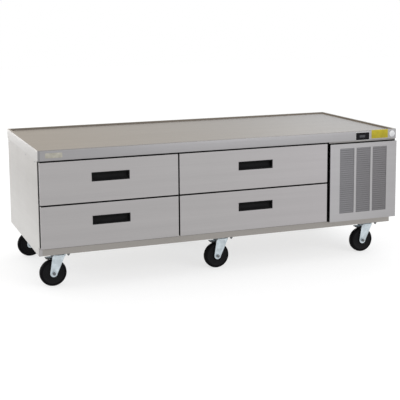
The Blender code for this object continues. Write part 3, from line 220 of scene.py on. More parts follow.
GLAND_PROFILE = (
    (0.004, 0.0), (0.009, 0.0), (0.009, -0.006), (0.0065, -0.007), (0.0065, -0.014), (0.004, -0.014)
)

# The look of each solid, by its name or a part of it, and the widths of soft edges
FINISHES = {
    "steel_apron": ("worktop",),
    "steel_x": ("back_panel", "face_frame", "louvre_panel", "_drawer_front"),
    "steel_y": ("left_side_panel", "right_side_panel", "bay_bulkhead"),
    "steel_base_painted_shade": ("base_pan",),
    "liner": ("interior_liner", "condensate_pan", "evaporator_cover", "_drawer_cradle", "_track_frame"),
    "foam": ("cabinet_insulation",),
    "line_foam": ("suction_line",),
    "bezel": ("temperature_controller",),
    "zinc": ("condensing_unit_tray", "caster_mount_", "caster_fork_"),
    "paint": ("compressor", "condenser_fan_shroud", "brake_pedal_"),
    "fins_x": ("condenser_coil", "evaporator_coil"),
    "aluminium": ("condenser_fan", "control_box"),
    "pull": ("power_cord_gland", "evaporator_fan", "_drawer_pull"),
    "gasket": ("_drawer_gasket",),
    "rubber": ("caster_wheel_",),
}
SOFT_EDGES = {
    "base_pan": EDGE,
    "control_box": EDGE,
    "_drawer_front": FOLD,
    "_drawer_pull": EDGE,
    "caster_fork_": EDGE,
    "brake_pedal_": EDGE,
}

TURNED_TO = {
    "z": Matrix.Identity(3),
    "y": Matrix.Rotation(-math.pi / 2, 3, "X"),
    "x": Matrix.Rotation(math.pi / 2, 3, "Y"),
}


def add_math(tree, operation, first, second):
    """A maths node on two sockets, or on a socket and a number."""
    made = tree.nodes.new("ShaderNodeMath")
    made.operation = operation
    for socket, value in zip(made.inputs, (first, second)):
        if isinstance(value, bpy.types.NodeSocket):
            tree.links.new(value, socket)
        else:
            socket.default_value = value
    return made.outputs["Value"]


class Shader:
    """A Principled material with its fine detail built from noise in the object's own space."""

    def __init__(self, name, colour, roughness, metallic=0.0):
        self.material = bpy.data.materials.new(name)
        self.material.use_nodes = True
        self.tree = self.material.node_tree
        self.shader = self.tree.nodes["Principled BSDF"]
        self.colour = colour
        self.feed(self.shader, Base_Color=(*colour, 1.0), Roughness=roughness, Metallic=metallic)
        self.place = self.node("ShaderNodeTexCoord").outputs["Object"]

    def node(self, kind, **values):
        made = self.tree.nodes.new(kind)
        for key, value in values.items():
            setattr(made, key, value)
        return made

    def feed(self, node, **inputs):
        """Links sockets and sets constants on a node's inputs, where _ stands for a space."""
        for key, value in inputs.items():
            socket = node.inputs[key.replace("_", " ")]
            if isinstance(value, bpy.types.NodeSocket):
                self.tree.links.new(value, socket)
            else:
                socket.default_value = value
        return node

    def noise(self, stretch, detail=4.0):
        """Noise drawn out by a different amount along each axis."""
        mapping = self.feed(self.node("ShaderNodeMapping"), Vector=self.place, Scale=stretch)
        return self.feed(
            self.node("ShaderNodeTexNoise"),
            Vector=mapping.outputs["Vector"],
            Scale=1.0,
            Detail=detail,
            Roughness=0.55,
        ).outputs["Fac"]

    def spread(self, value, low, high):
        """The middle of the noise's range, spread between these two values."""
        start, end = NOISE_MIDDLE
        limits = {"From_Min": start, "From_Max": end, "To_Min": low, "To_Max": high}
        return self.feed(self.node("ShaderNodeMapRange"), Value=value, **limits).outputs["Result"]

    def tones(self, value, dark, light):
        """The base colour runs between these two shares of itself."""
        ramp = self.node("ShaderNodeValToRGB")
        for element, share, stop in zip(ramp.color_ramp.elements, (dark, light), NOISE_MIDDLE):
            element.position = stop
            element.color = (*(min(channel * share, 1.0) for channel in self.colour), 1.0)
        self.feed(ramp, Fac=value)
        self.feed(self.shader, Base_Color=ramp.outputs["Color"])

    def gloss(self, value, low, high):
        """The roughness runs between these two values."""
        self.feed(self.shader, Roughness=self.spread(value, low, high))

    def drift(self, axis, start, end, shares, tints=()):
        """Along an axis the colour runs between shares of itself and the grazing tint between tints, which
        paints light and shade across the object.
        """
        split = self.feed(self.node("ShaderNodeSeparateXYZ"), Vector=self.place)
        along = self.feed(
            self.node("ShaderNodeMapRange"), Value=split.outputs[axis], From_Min=start, From_Max=end
        ).outputs["Result"]
        base = self.shader.inputs["Base Color"].links[0].from_socket
        share = self.blend("MIX", along, *((*colour, 1.0) for colour in shares))
        self.feed(self.shader, Base_Color=self.blend("MULTIPLY", 1.0, base, share))
        if tints:
            tint = self.blend("MIX", along, *((*colour, 1.0) for colour in tints))
            self.feed(self.shader, Specular_Tint=tint)

    def blend(self, kind, factor, first, last):
        mix = self.node("ShaderNodeMix", data_type="RGBA", blend_type=kind)
        return self.feed(mix, Factor=factor, A=first, B=last).outputs["Result"]

    def bump(self, value, depth, strength):
        bump = self.feed(self.node("ShaderNodeBump"), Height=value, Distance=depth, Strength=strength)
        self.feed(self.shader, Normal=bump.outputs["Normal"])


def brushed(name, colour, roughness, along, handling=0.035, grazing=(1.0, 1.0, 1.0)):
    """Brushed steel: fine lines along one axis, wide soft bands and a few handling marks."""
    look = Shader(name, colour, roughness, 1.0)
    look.feed(look.shader, Specular_Tint=(*grazing, 1.0))
    fine = tuple(3.0 if axis == along else 900.0 for axis in "xyz")
    wide = tuple(0.8 if axis == along else 26.0 for axis in "xyz")
    lines = look.noise(fine, 3.0)
    bands = look.noise(wide, 2.0)
    marks = look.noise((5.0,) * 3, 5.0)
    mixed = look.feed(look.node("ShaderNodeMix"), Factor=0.45, A=lines, B=bands).outputs["Result"]
    look.tones(mixed, 0.945, 1.055)
    rough = look.spread(lines, roughness - 0.05, roughness + 0.05)
    handled = look.spread(marks, -handling, handling)
    look.feed(look.shader, Roughness=add_math(look.tree, "ADD", rough, handled))
    look.bump(lines, 0.00002, 0.5)
    return look


def plated(name, colour, roughness):
    """Zinc plate: small cloudy flecks and a faint orange peel."""
    look = Shader(name, colour, roughness, 1.0)
    flecks = look.noise((160.0,) * 3, 4.0)
    clouds = look.noise((34.0,) * 3, 3.0)
    look.tones(clouds, 0.78, 1.16)
    look.gloss(flecks, roughness - 0.08, roughness + 0.12)
    look.bump(flecks, 0.00006, 0.4)
    return look


def moulded(name, colour, roughness, grain=1400.0, depth=0.00004, mirror=0.5):
    """Moulded plastic, rubber or paint: a fine even grain with soft dusty clouds."""
    look = Shader(name, colour, roughness)
    look.feed(look.shader, Specular_IOR_Level=mirror)
    texture = look.noise((grain,) * 3, 2.0)
    dust = look.noise((22.0,) * 3, 5.0)
    look.tones(dust, 0.8, 1.25)
    look.gloss(dust, roughness - 0.06, roughness + 0.1)
    look.bump(texture, depth, 0.5)
    return look


def finned(name, colour):
    """A block of pressed fins: thin bright edges with painted shade in the slots between them."""
    look = Shader(name, colour, 0.42, 1.0)
    wave = look.feed(
        look.node("ShaderNodeTexWave", bands_direction="X"),
        Vector=look.place,
        Scale=150.0,
        Distortion=0.15,
        Detail=1.0,
    ).outputs["Fac"]
    # The slots' dark tone is painted shade between the fins.
    look.tones(wave, 0.16, 1.0)
    look.gloss(look.noise((60.0,) * 3), 0.34, 0.52)
    look.bump(wave, 0.0008, 0.8)
    return look


def foamed(name, colour):
    """Foam: open pores over soft lumps."""
    look = Shader(name, colour, 0.9)
    cells = look.feed(look.node("ShaderNodeTexVoronoi"), Vector=look.place, Scale=420.0)
    lumps = look.noise((30.0,) * 3, 4.0)
    look.tones(lumps, 0.82, 1.12)
    look.gloss(lumps, 0.82, 0.95)
    look.bump(cells.outputs["Distance"], 0.0004, 0.6)
    return look


def make_looks():
    """Every material by its short name; several steels are lighter or darker copies of one stainless that
    paint light and shade, and the drifts at the end paint more of it along an axis.
    """
    looks = {
        "steel_x": brushed("steel_brushed_along_x_painted_light", (0.372, 0.36, 0.36), 0.36, "x"),
        # The end panels: a lighter copy of the fronts' steel, painted light.
        "steel_y": brushed("steel_brushed_along_y_painted_light", (0.402, 0.388, 0.373), 0.38, "y"),
        # The apron: a darker copy of the fronts' steel, darker still to the left by the drift below:
        # painted shade.
        "steel_apron": brushed("steel_apron", (0.321, 0.314, 0.319), 0.36, "x"),
        # The worktop's end faces: a lighter copy of the steel, painted light.
        "steel_side": brushed("steel_apron_side_painted_light", (0.43, 0.42, 0.41), 0.38, "y"),
        # The apron's left rounded corner: a darker copy of the steel, painted shade that dims its
        # highlight.
        "steel_corner_painted_shade": brushed("steel_corner_painted_shade", (0.235, 0.232, 0.236), 0.42, "z"),
        # The worktop's rounded upper edge: a darker copy of the steel, painted shade.
        "steel_edge": brushed("steel_rounded_edge_painted_shade", (0.25, 0.24, 0.232), 0.4, "x"),
        # The worktop's top face: a lighter copy of the steel, painted light; the drift below paints a warm
        # reflection on it.
        "steel_top": brushed("steel_worktop_painted_reflection", (0.388, 0.38, 0.368), 0.36, "x", 0.018),
        # The rim's inner slope: dark brown steel, painted shade in the crease along the rim.
        "steel_rim": brushed("steel_rim_slope_painted_shade", (0.17, 0.148, 0.125), 0.42, "x", 0.035, (0.6, 0.54, 0.46)),
        # The strip under the apron: a dark copy of the steel, painted shade.
        "steel_header_painted_shade": brushed("steel_header_painted_shade", (0.24, 0.23, 0.222), 0.42, "x"),
        # The louvred panel's frame: a lighter copy of the steel, painted light, darker towards the right
        # by the drift below.
        "steel_panel_painted_light": brushed("steel_panel_painted_light", (0.388, 0.38, 0.386), 0.36, "x"),
        # The louvre blades: a very dark copy of the panel's steel, painted shade between the blades.
        "steel_louvre_painted_shade": brushed("steel_louvre_painted_shade", (0.144, 0.142, 0.147), 0.42, "x"),
        # The base pan: a darker, warmer copy of the steel, painted shade low under the fronts.
        "steel_base_painted_shade": brushed("steel_base_painted_shade", (0.309, 0.292, 0.274), 0.4, "x"),
        "liner": brushed("steel_liner", (0.46, 0.46, 0.465), 0.42, "x"),
        "zinc": plated("zinc_plate", (0.545, 0.605, 0.64), 0.4),
        "bolt": plated("zinc_bolt", (0.48, 0.5, 0.52), 0.28),
        # Zinc plate far darker than the bolts' zinc.
        "nut": plated("dark_zinc_nut", (0.15, 0.155, 0.16), 0.4),
        "pull": moulded("pull_plastic", (0.011, 0.0108, 0.0112), 0.5, mirror=0.06),
        "bezel": moulded("bezel_plastic", (0.004, 0.004, 0.0052), 0.42, 1800.0, mirror=0.12),
        # Black vinyl for the real gaskets, and also for black strips that are painted shade in the gaps
        # round the fronts and the louvred panel.
        "gasket": moulded("gasket_vinyl", (0.003, 0.003, 0.0032), 0.7, 700.0, mirror=0.05),
        "rubber": moulded("wheel_rubber", (0.0048, 0.0044, 0.0052), 0.58, 500.0, 0.00008, mirror=0.06),
        "hub": moulded("wheel_hub", (0.008, 0.0078, 0.0086), 0.5, 900.0, mirror=0.1),
        "paint": moulded("black_paint", (0.014, 0.014, 0.016), 0.38, 800.0, mirror=0.3),
        "aluminium": plated("cast_aluminium", (0.6, 0.6, 0.61), 0.4),
        "fins_x": finned("fins_across_x", (0.56, 0.56, 0.57)),
        "copper": plated("copper_tube", (0.62, 0.29, 0.17), 0.3),
        "foam": foamed("cabinet_foam", (0.62, 0.5, 0.24)),
        "line_foam": foamed("line_foam", (0.018, 0.018, 0.019)),
        "filter": moulded("filter_mesh", (0.17, 0.165, 0.168), 0.7, 300.0, 0.0004),
        "label": moulded("blank_yellow_label", (0.485, 0.4, 0.026), 0.55, 260.0, 0.00002, 0.25),
        "disc": moulded("blank_white_disc", (0.8, 0.8, 0.83), 0.45, 260.0, 0.00002, 0.25),
        "plate": plated("blank_plate", (0.385, 0.37, 0.32), 0.36),
        "surround": plated("controller_surround", (0.46, 0.455, 0.45), 0.4),
        "window": display_look(),
    }
    full = (1.0, 1.0, 1.0)
    # Painted reflection: the top runs from a warm grazing tint and slightly darker tone at its left to
    # neutral at its right.
    looks["steel_top"].drift(
        "X", -0.85, 0.85, ((1.0, 0.985, 0.96), full), ((0.742, 0.677, 0.604), (0.752, 0.746, 0.752))
    )
    # Painted shade: the louvre blades darken towards the panel's right end.
    looks["steel_louvre_painted_shade"].drift("X", 0.6, 0.87, (full, (0.86, 0.84, 0.83)))
    # Painted shade: the apron darkens towards its left end.
    looks["steel_apron"].drift("X", -0.9, -0.1, ((0.935, 0.935, 0.935), full))
    # Painted shade: the panel's frame darkens towards its right end.
    looks["steel_panel_painted_light"].drift("X", 0.58, 0.92, (full, (0.92, 0.92, 0.92)))
    # Painted light: the end panels lighten by up to a third towards the floor, standing in for light
    # thrown up by the floor.
    looks["steel_y"].drift("Z", 0.22, 0.5, ((1.33, 1.35, 1.36), full))
    # Painted light: the fronts, back and face frame lighten towards the right.
    looks["steel_x"].drift("X", -0.1, 0.5, (full, (1.05, 1.04, 1.055)))
    return {name: look.material for name, look in looks.items()}


def display_look():
    """The controller's unlit window: smoked plastic over faint segments."""
    look = Shader("display_window", (0.068, 0.069, 0.078), 0.24)
    look.feed(look.shader, Specular_IOR_Level=0.3)
    haze = look.noise((240.0, 40.0, 240.0), 3.0)
    look.tones(haze, 0.75, 1.25)
    look.gloss(haze, 0.16, 0.3)
    look.bump(haze, 0.00002, 0.3)
    return look


def put(name, data):
    """A new object in the scene that shows this mesh, lamp or camera."""
    obj = bpy.data.objects.new(name, data)
    bpy.context.scene.collection.objects.link(obj)
    return obj


def piece(name, bm, look, body="cabinet", smooth=35.0):
    """A finished piece made of this mesh, which rides on the body."""
    bmesh.ops.recalc_face_normals(bm, faces=bm.faces)
    mesh = bpy.data.meshes.new(name)
    bm.to_mesh(mesh)
    bm.free()
    mesh.materials.append(look)
    mesh.shade_smooth()
    mesh.set_sharp_from_angle(angle=math.radians(smooth))
    obj = put(name, mesh)
    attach(obj, body)
    return obj


def soften(obj, width):
    """Rounds the sharp edges a little, as folded sheet and mouldings have them."""
    join = obj.modifiers.new("join", "WELD")
    join.merge_threshold = 0.00001
    bevel = obj.modifiers.new("edges", "BEVEL")
    bevel.width = width
    bevel.segments = 2
    bevel.limit_method = "ANGLE"
    bevel.angle_limit = math.radians(40)
    bevel.harden_normals = True


def add_box(bm, x, y, z, round_by=0.0, segments=2):
    """A box between these limits, with its edges rounded."""
    made = bmesh.ops.create_cube(bm, size=1.0)["verts"]
    bmesh.ops.scale(bm, verts=made, vec=[high - low for low, high in (x, y, z)])
    bmesh.ops.translate(bm, verts=made, vec=[(low + high) / 2 for low, high in (x, y, z)])
    if round_by:
        edges = {edge for vert in made for edge in vert.link_edges}
        bmesh.ops.bevel(
            bm, geom=list(edges), offset=round_by, segments=segments, affect="EDGES", profile=0.5
        )


def join_rings(bm, rings, closed=False):
    """Bands of faces between rings of as many points, and from the last to the first if closed."""
    for near, far in zip(rings, rings[1:] + (rings[:1] if closed else [])):
        for index in range(len(near)):
            after = (index + 1) % len(near)
            bm.faces.new((near[index], near[after], far[after], far[index]))


def join_rows(bm, near, far):
    """A band of faces between two open rows of points."""
    for corners in zip(near, far, far[1:], near[1:]):
        bm.faces.new(corners)


def add_turned(bm, profile, steps, place, axis="z"):
    """A profile of (radius, height) points turned round an axis through this place."""
    rings = []
    for radius, height in profile:
        count = 1 if radius == 0 else steps
        angles = [2 * math.pi * step / steps for step in range(count)]
        points = [Vector((radius * math.cos(a), radius * math.sin(a), height)) for a in angles]
        rings.append([bm.verts.new(Vector(place) + TURNED_TO[axis] @ point) for point in points])
    for low, high in zip(rings, rings[1:]):
        for step in range(steps):
            after = (step + 1) % steps
            near = [low[at % len(low)] for at in (step, after)]
            far = [high[at % len(high)] for at in (after, step)]
            bm.faces.new(dict.fromkeys(near + far))


def add_ring(bm, radius, thick, place, axis="z", steps=48, sides=8):
    """A round wire ring."""
    turns = [2 * math.pi * side / sides for side in range(sides + 1)]
    section = [(radius + thick * math.cos(turn), thick * math.sin(turn)) for turn in turns]
    add_turned(bm, section, steps, place, axis)


def add_screw(bm, place, axis, radius):
    """A low round screw head with a recess, standing on this place towards the axis."""
    sign = -1 if axis.startswith("-") else 1
    height = radius * SCREW_HEIGHT_SHARE * sign
    profile = [(radius * away, height * rise) for away, rise in SCREW_SHARES]
    add_turned(bm, profile, 20, place, axis[-1])


def add_bolt(bm, place, sign):
    """A nut on a washer with the end of its bolt, along Z."""
    washer = WASHER * sign
    nut = washer + NUT_HEIGHT * sign
    end = nut + BOLT_END * sign
    rim, wide, thin = NUT_RADIUS * WASHER_SHARE, NUT_RADIUS, BOLT_RADIUS
    add_turned(bm, ((0, washer), (rim * 0.96, washer), (rim, washer * 0.5), (rim, 0)), 24, place)
    add_turned(bm, ((0, nut), (wide * 0.86, nut), (wide, nut * 0.85), (wide, washer)), 6, place)
    add_turned(bm, ((0, end), (thin * 0.8, end), (thin, end * 0.93), (thin, nut)), 16, place)


def add_tube(bm, points, radius, sides, steps):
    """A round tube along a smooth curve through these points."""
    path = smooth_path([Vector(point) for point in points], steps)
    rings = []
    normal = Vector((0, 0, 1))
    for index, point in enumerate(path):
        ahead = path[min(index + 1, len(path) - 1)] - path[max(index - 1, 0)]
        tangent = ahead.normalized()
        side = tangent.cross(normal)
        if side.length < 0.05:
            side = tangent.cross(Vector((0, 1, 0)))
        side.normalize()
        normal = side.cross(tangent)
        angles = [2 * math.pi * step / sides for step in range(sides)]
        circle = [radius * (side * math.cos(angle) + normal * math.sin(angle)) for angle in angles]
        rings.append([bm.verts.new(point + offset) for offset in circle])
    join_rings(bm, rings)
    bm.faces.new(rings[0])
    bm.faces.new(rings[-1])


def smooth_path(points, steps):
    """A Catmull-Rom curve through the points."""
    path = []
    padded = [points[0], *points, points[-1]]
    for before, start, end, after in zip(padded, padded[1:], padded[2:], padded[3:]):
        for step in range(steps):
            t = step / steps
            bend = (2 * before - 5 * start + 4 * end - after) * t**2
            twist = (3 * start - before - 3 * end + after) * t**3
            path.append((2 * start + (end - before) * t + bend + twist) / 2)
    path.append(points[-1])
    return path


def add_guard(bm, fan, ring_y, radii, legs, wires, steps):
    """A fan's wire guard: rings, and four legs through points at these distances and depths."""
    ring_wire, leg_wire = wires
    for radius in radii:
        add_ring(bm, radius, ring_wire, (fan.x, ring_y, fan.z), "y", steps, sides=6)
    for leg in range(4):
        turn = math.pi / 4 + leg * math.pi / 2
        points = [(fan.x + away * math.cos(turn), y, fan.z + away * math.sin(turn)) for away, y in legs]
        add_tube(bm, points, leg_wire, sides=6, steps=3)


def around(place, half):
    """Limits this far to both sides of a place."""
    return (place - half, place + half)


def within(limits, inset):
    """The limits drawn in by this much."""
    return (limits[0] + inset, limits[1] - inset)


def span(node, axis):
    """The limits of a node's box along one axis."""
    low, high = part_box(node)
    return low["xyz".index(axis)], high["xyz".index(axis)]


def middle(node):
    """The middle of a node's box."""
    low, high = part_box(node)
    return (low + high) / 2


def make_world():
    """Even studio air: one level for the light it gives, white where it is seen or mirrored."""
    world = bpy.data.worlds.new("studio")
    bpy.context.scene.world = world
    world.use_nodes = True
    tree = world.node_tree
    tree.nodes.clear()
    rays = tree.nodes.new("ShaderNodeLightPath").outputs
    seen = add_math(tree, "MAXIMUM", rays["Is Camera Ray"], rays["Is Glossy Ray"])
    through = add_math(tree, "MAXIMUM", seen, rays["Is Transmission Ray"])
    lit, shown = (tree.nodes.new("ShaderNodeBackground") for _ in range(2))
    for light, level in ((lit, WORLD_LEVEL), (shown, SEEN_WORLD_LEVEL)):
        light.inputs["Color"].default_value = (1.0, 1.0, 1.0, 1.0)
        light.inputs["Strength"].default_value = level
    mix = tree.nodes.new("ShaderNodeMixShader")
    out = tree.nodes.new("ShaderNodeOutputWorld")
    tree.links.new(through, mix.inputs["Fac"])
    tree.links.new(lit.outputs["Background"], mix.inputs[1])
    tree.links.new(shown.outputs["Background"], mix.inputs[2])
    tree.links.new(mix.outputs["Shader"], out.inputs["Surface"])


def make_floor():
    """A plain white floor that keeps the object's shadow."""
    bm = bmesh.new()
    bmesh.ops.create_grid(bm, x_segments=1, y_segments=1, size=FLOOR_HALF)
    mesh = bpy.data.meshes.new("floor")
    bm.to_mesh(mesh)
    bm.free()
    material = bpy.data.materials.new("white_floor")
    material.use_nodes = True
    tree = material.node_tree
    tree.nodes.clear()
    rays = tree.nodes.new("ShaderNodeLightPath").outputs
    paint = tree.nodes.new("ShaderNodeBsdfDiffuse")
    paint.inputs["Color"].default_value = (FLOOR_TONE, FLOOR_TONE, FLOOR_TONE, 1.0)
    seen = add_math(tree, "MAXIMUM", rays["Is Camera Ray"], rays["Is Glossy Ray"])
    lift = tree.nodes.new("ShaderNodeEmission")
    tree.links.new(add_math(tree, "MULTIPLY", seen, FLOOR_LIFT), lift.inputs["Strength"])
    both = tree.nodes.new("ShaderNodeAddShader")
    tree.links.new(paint.outputs["BSDF"], both.inputs[0])
    tree.links.new(lift.outputs["Emission"], both.inputs[1])
    out = tree.nodes.new("ShaderNodeOutputMaterial")
    tree.links.new(both.outputs["Shader"], out.inputs["Surface"])
    mesh.materials.append(material)
    put("floor", mesh)


def make_lamps():
    """Wide soft boxes round the object."""
    for name, (place, aim, size, power, colour) in LAMPS.items():
        lamp = bpy.data.lights.new(name, "AREA")
        lamp.shape = "RECTANGLE"
        lamp.size, lamp.size_y = size
        lamp.energy, lamp.color = power, colour
        obj = put(name, lamp)
        obj.location = place
        obj.rotation_euler = (Vector(aim) - Vector(place)).to_track_quat("-Z", "Y").to_euler()


def make_camera():
    """The camera at the photograph's place and angle."""
    yaw, pitch, roll = CAMERA_YAW, CAMERA_PITCH, CAMERA_ROLL
    ahead = Vector((math.sin(yaw), math.cos(yaw), 0))
    forward = ahead * math.cos(pitch) - Vector((0, 0, math.sin(pitch)))
    level = Vector((math.cos(yaw), -math.sin(yaw), 0))
    upright = level.cross(forward)
    right = level * math.cos(roll) + upright * math.sin(roll)
    up = upright * math.cos(roll) - level * math.sin(roll)
    aim = Vector((0, 0, CAMERA_AIM_HEIGHT))
    place = aim - forward * CAMERA_DISTANCE - right * CAMERA_ASIDE - up * CAMERA_BELOW
    data = bpy.data.cameras.new("camera")
    data.lens = CAMERA_LENS
    data.shift_x, data.shift_y = CAMERA_SHIFT
    camera = put("camera", data)
    axes = Matrix((right, up, -forward)).transposed().to_4x4()
    camera.matrix_world = Matrix.Translation(place) @ axes
    bpy.context.scene.camera = camera


def dress_frame_nodes(looks):
    """Materials on the solids, with softened edges where these show."""
    for name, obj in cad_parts.items():
        matches = [(part, look) for look, parts in FINISHES.items() for part in parts if part in name]
        _, look = max(matches, key=lambda match: len(match[0]))
        obj.data.materials.clear()
        obj.data.materials.append(looks[look])
        for part, width in SOFT_EDGES.items():
            if part in name:
                soften(obj, width)


def paint_faces(obj, looks, choose):
    """Gives each face the look that choose names for its middle and its outward direction."""
    chosen = [choose(face.center, face.normal) for face in obj.data.polygons]
    names = list(dict.fromkeys(chosen))
    obj.data.materials.clear()
    for name in names:
        obj.data.materials.append(looks[name])
    for face, name in zip(obj.data.polygons, chosen):
        face.material_index = names.index(name)


def top_ring(bm, low, high, inset, z):
    """The outline of the top, drawn in by this much, with its round corners."""
    points = []
    for quarter, (side, front) in enumerate(((1, False), (-1, False), (-1, True), (1, True))):
        full = FRONT_CORNER if front else REAR_CORNER
        radius = max(full - inset, full * 0.15)
        x = (high.x - inset - radius) * side
        y = low.y + inset + radius if front else high.y - inset - radius
        for step in range(CORNER_STEPS + 1):
            turn = (quarter + step / CORNER_STEPS) * math.pi / 2
            points.append(bm.verts.new((x + radius * math.cos(turn), y + radius * math.sin(turn), z)))
    return points


def make_worktop(looks):
    """The top sheet: apron, rounded edge, raised rim with its slope, and the sunken surface, its faces in
    lighter and darker copies of the steel by where they point: painted light and shade.
    """
    low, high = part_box("worktop")
    surface = high.z - RIM_HEIGHT
    crest = RIM_WIDTH - RIM_SLOPE
    profile = [(0.0, low.z + HEM_ROUND), (0.0, high.z - RIM_ROUND)]
    for step in range(1, 5):
        turn = math.pi / 2 * step / 4
        profile.append((RIM_ROUND * (1 - math.cos(turn)), high.z - RIM_ROUND * (1 - math.sin(turn))))
    profile += [(crest - CREST_ROUND[0], high.z), (crest, high.z - CREST_ROUND[1])]
    profile.append((RIM_WIDTH - VALLEY_ROUND[0], surface + VALLEY_ROUND[1]))
    profile.append((RIM_WIDTH + HEM_ROUND, surface))
    outer = len(profile)
    profile += [(RIM_WIDTH, surface - TOP_SHEET), (crest, high.z - TOP_SHEET)]
    profile += [(TOP_SHEET, high.z - TOP_SHEET - RIM_ROUND / 2), (TOP_SHEET, low.z)]
    profile.append((HEM_ROUND, low.z))
    bm = bmesh.new()
    rings = [top_ring(bm, low, high, inset, z) for inset, z in profile]
    join_rings(bm, rings[:outer])
    join_rings(bm, rings[outer:] + rings[:1])
    bm.faces.new(rings[outer - 1])
    bm.faces.new(rings[outer])
    reach = high.x - FRONT_CORNER - TOP_SHEET
    folded = (low.y + TOP_SHEET + SKIN, low.y + APRON_RETURN)
    add_box(bm, (-reach, reach), folded, (low.z, low.z + TOP_SHEET), SOFT)
    top = piece("worktop_sheet", bm, looks["steel_apron"], smooth=30.0)

    # Faces pick lighter or darker copies of the one steel by where they point: the top and end faces are
    # painted light, the rounded edge, left corner and rim slope painted shade.
    def choose(place, facing):
        slope = surface + SKIN < place.z < high.z - SKIN and WALL < facing.z < LEVEL
        if slope and abs(place.x) < high.x - crest and low.y + crest < place.y < high.y - crest:
            return "steel_rim"
        if facing.z > LEVEL:
            return "steel_top"
        if abs(facing.x) > LEVEL:
            return "steel_side"
        if facing.z > WALL:
            return "steel_edge"
        return "steel_corner_painted_shade" if facing.x < -WALL else "steel_apron"

    paint_faces(top, looks, choose)
    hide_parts("worktop")


def make_louvre_panel(looks):
    """The bay's front panel: a pan with a turned-in flange and pressed louvres that rise inwards, the
    blades in a dark copy of the steel as painted shade.
    """
    low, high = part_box("louvre_panel")
    sheet = PANEL_SHEET
    columns = [(low.x + left, low.x + right) for left, right in COLUMN_X]
    foot, head = low.z + COLUMN_Z[0], low.z + COLUMN_Z[1]
    bm = bmesh.new()
    edges_x = sorted({low.x, high.x, *(edge for column in columns for edge in column)})
    edges_z = [low.z, foot, head, high.z]
    last_x, last_z = len(edges_x) - 1, len(edges_z) - 1

    def drawn_in(i, k, y, inset):
        """A crossing of two edges at this depth, kept this far inside the outline."""
        x = min(max(edges_x[i], low.x + inset), high.x - inset)
        z = min(max(edges_z[k], low.z + inset), high.z - inset)
        return bm.verts.new((x, y, z))

    def field(skin, i, k):
        """The corners of one field between the edges."""
        return [skin[at] for at in ((i, k), (i + 1, k), (i + 1, k + 1), (i, k + 1))]

    skins = []
    for y, inset in ((low.y, PANEL_INSET), (low.y + sheet, sheet)):
        skin = {(i, k): drawn_in(i, k, y, inset) for i in range(last_x + 1) for k in range(last_z + 1)}
        skins.append(skin)
        for i in range(last_x):
            for k in range(last_z):
                if k != 1 or i % 2 == 0:
                    bm.faces.new(field(skin, i, k))
    for i in range(1, last_x, 2):
        join_rings(bm, [field(skin, i, 1) for skin in skins])

    border = [(i, 0) for i in range(last_x)] + [(last_x, k) for k in range(last_z)]
    border += [(i, last_z) for i in range(last_x, 0, -1)] + [(0, k) for k in range(last_z, 0, -1)]
    rim, inner = ([skin[at] for at in border] for skin in skins)
    loops = [rim]
    for y, inset in (
        (high.y, PANEL_INSET),
        (high.y, PANEL_FLANGE),
        (high.y - sheet, PANEL_FLANGE),
        (high.y - sheet, sheet),
    ):
        loops.append([drawn_in(i, k, y, inset) for i, k in border])
    join_rings(bm, loops + [inner])

    pitch = (head - foot) / BLADE_COUNT
    for left, right in columns:
        for blade in range(BLADE_COUNT):
            base = foot + blade * pitch
            section = [(low.y + depth, base + pitch * share) for depth, share in BLADE_SECTION]
            sides = (left - BLADE_LAP, right + BLADE_LAP)
            ends = [[bm.verts.new((x, y, z)) for y, z in section] for x in sides]
            bm.faces.new(ends[0])
            bm.faces.new(ends[1])
            join_rings(bm, ends)
    panel = piece("louvred_panel", bm, looks["steel_panel_painted_light"], smooth=40.0)

    # The blades behind the panel's face take the dark copy of the steel: painted shade between them.
    def choose(place, _):
        across = any(left - sheet < place.x < right + sheet for left, right in columns)
        upright = foot - sheet < place.z < head + sheet
        behind = place.y > low.y + SKIN
        return "steel_louvre_painted_shade" if across and upright and behind else "steel_panel_painted_light"

    paint_faces(panel, looks, choose)
    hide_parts("louvre_panel")


def make_front_edges(looks, row, column):
    """Black strips on the returns of a drawer front that face its neighbours, painted shade in the gaps
    between the fronts.
    """
    low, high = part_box(f"{row}_{column}_drawer_front")
    across, upright = within((low.x, high.x), GAP_SHADE_STRIP), within((low.z, high.z), GAP_SHADE_STRIP)
    deep = (low.y + FOLD, high.y)
    bm = bmesh.new()
    for z in ((high.z, high.z + GAP_SHADE_STRIP), (low.z - GAP_SHADE_STRIP, low.z)):
        add_box(bm, across, deep, z, GAP_SHADE_STRIP / 5, segments=1)
    add_box(bm, (high.x, high.x + GAP_SHADE_STRIP), deep, upright, GAP_SHADE_STRIP / 5, segments=1)
    # On the left column the strip on the left return sits back by the gasket, so that return's front stays
    # steel; it is painted shade in that gap too.
    if column == "left":
        deep = (high.y - GASKET_LIP, high.y + GASKET_DEPTH)
    add_box(bm, (low.x - GAP_SHADE_STRIP, low.x), deep, upright, GAP_SHADE_STRIP / 5, segments=1)
    piece(f"{row}_{column}_edge", bm, looks["gasket"], f"{row}_{column}_drawer")


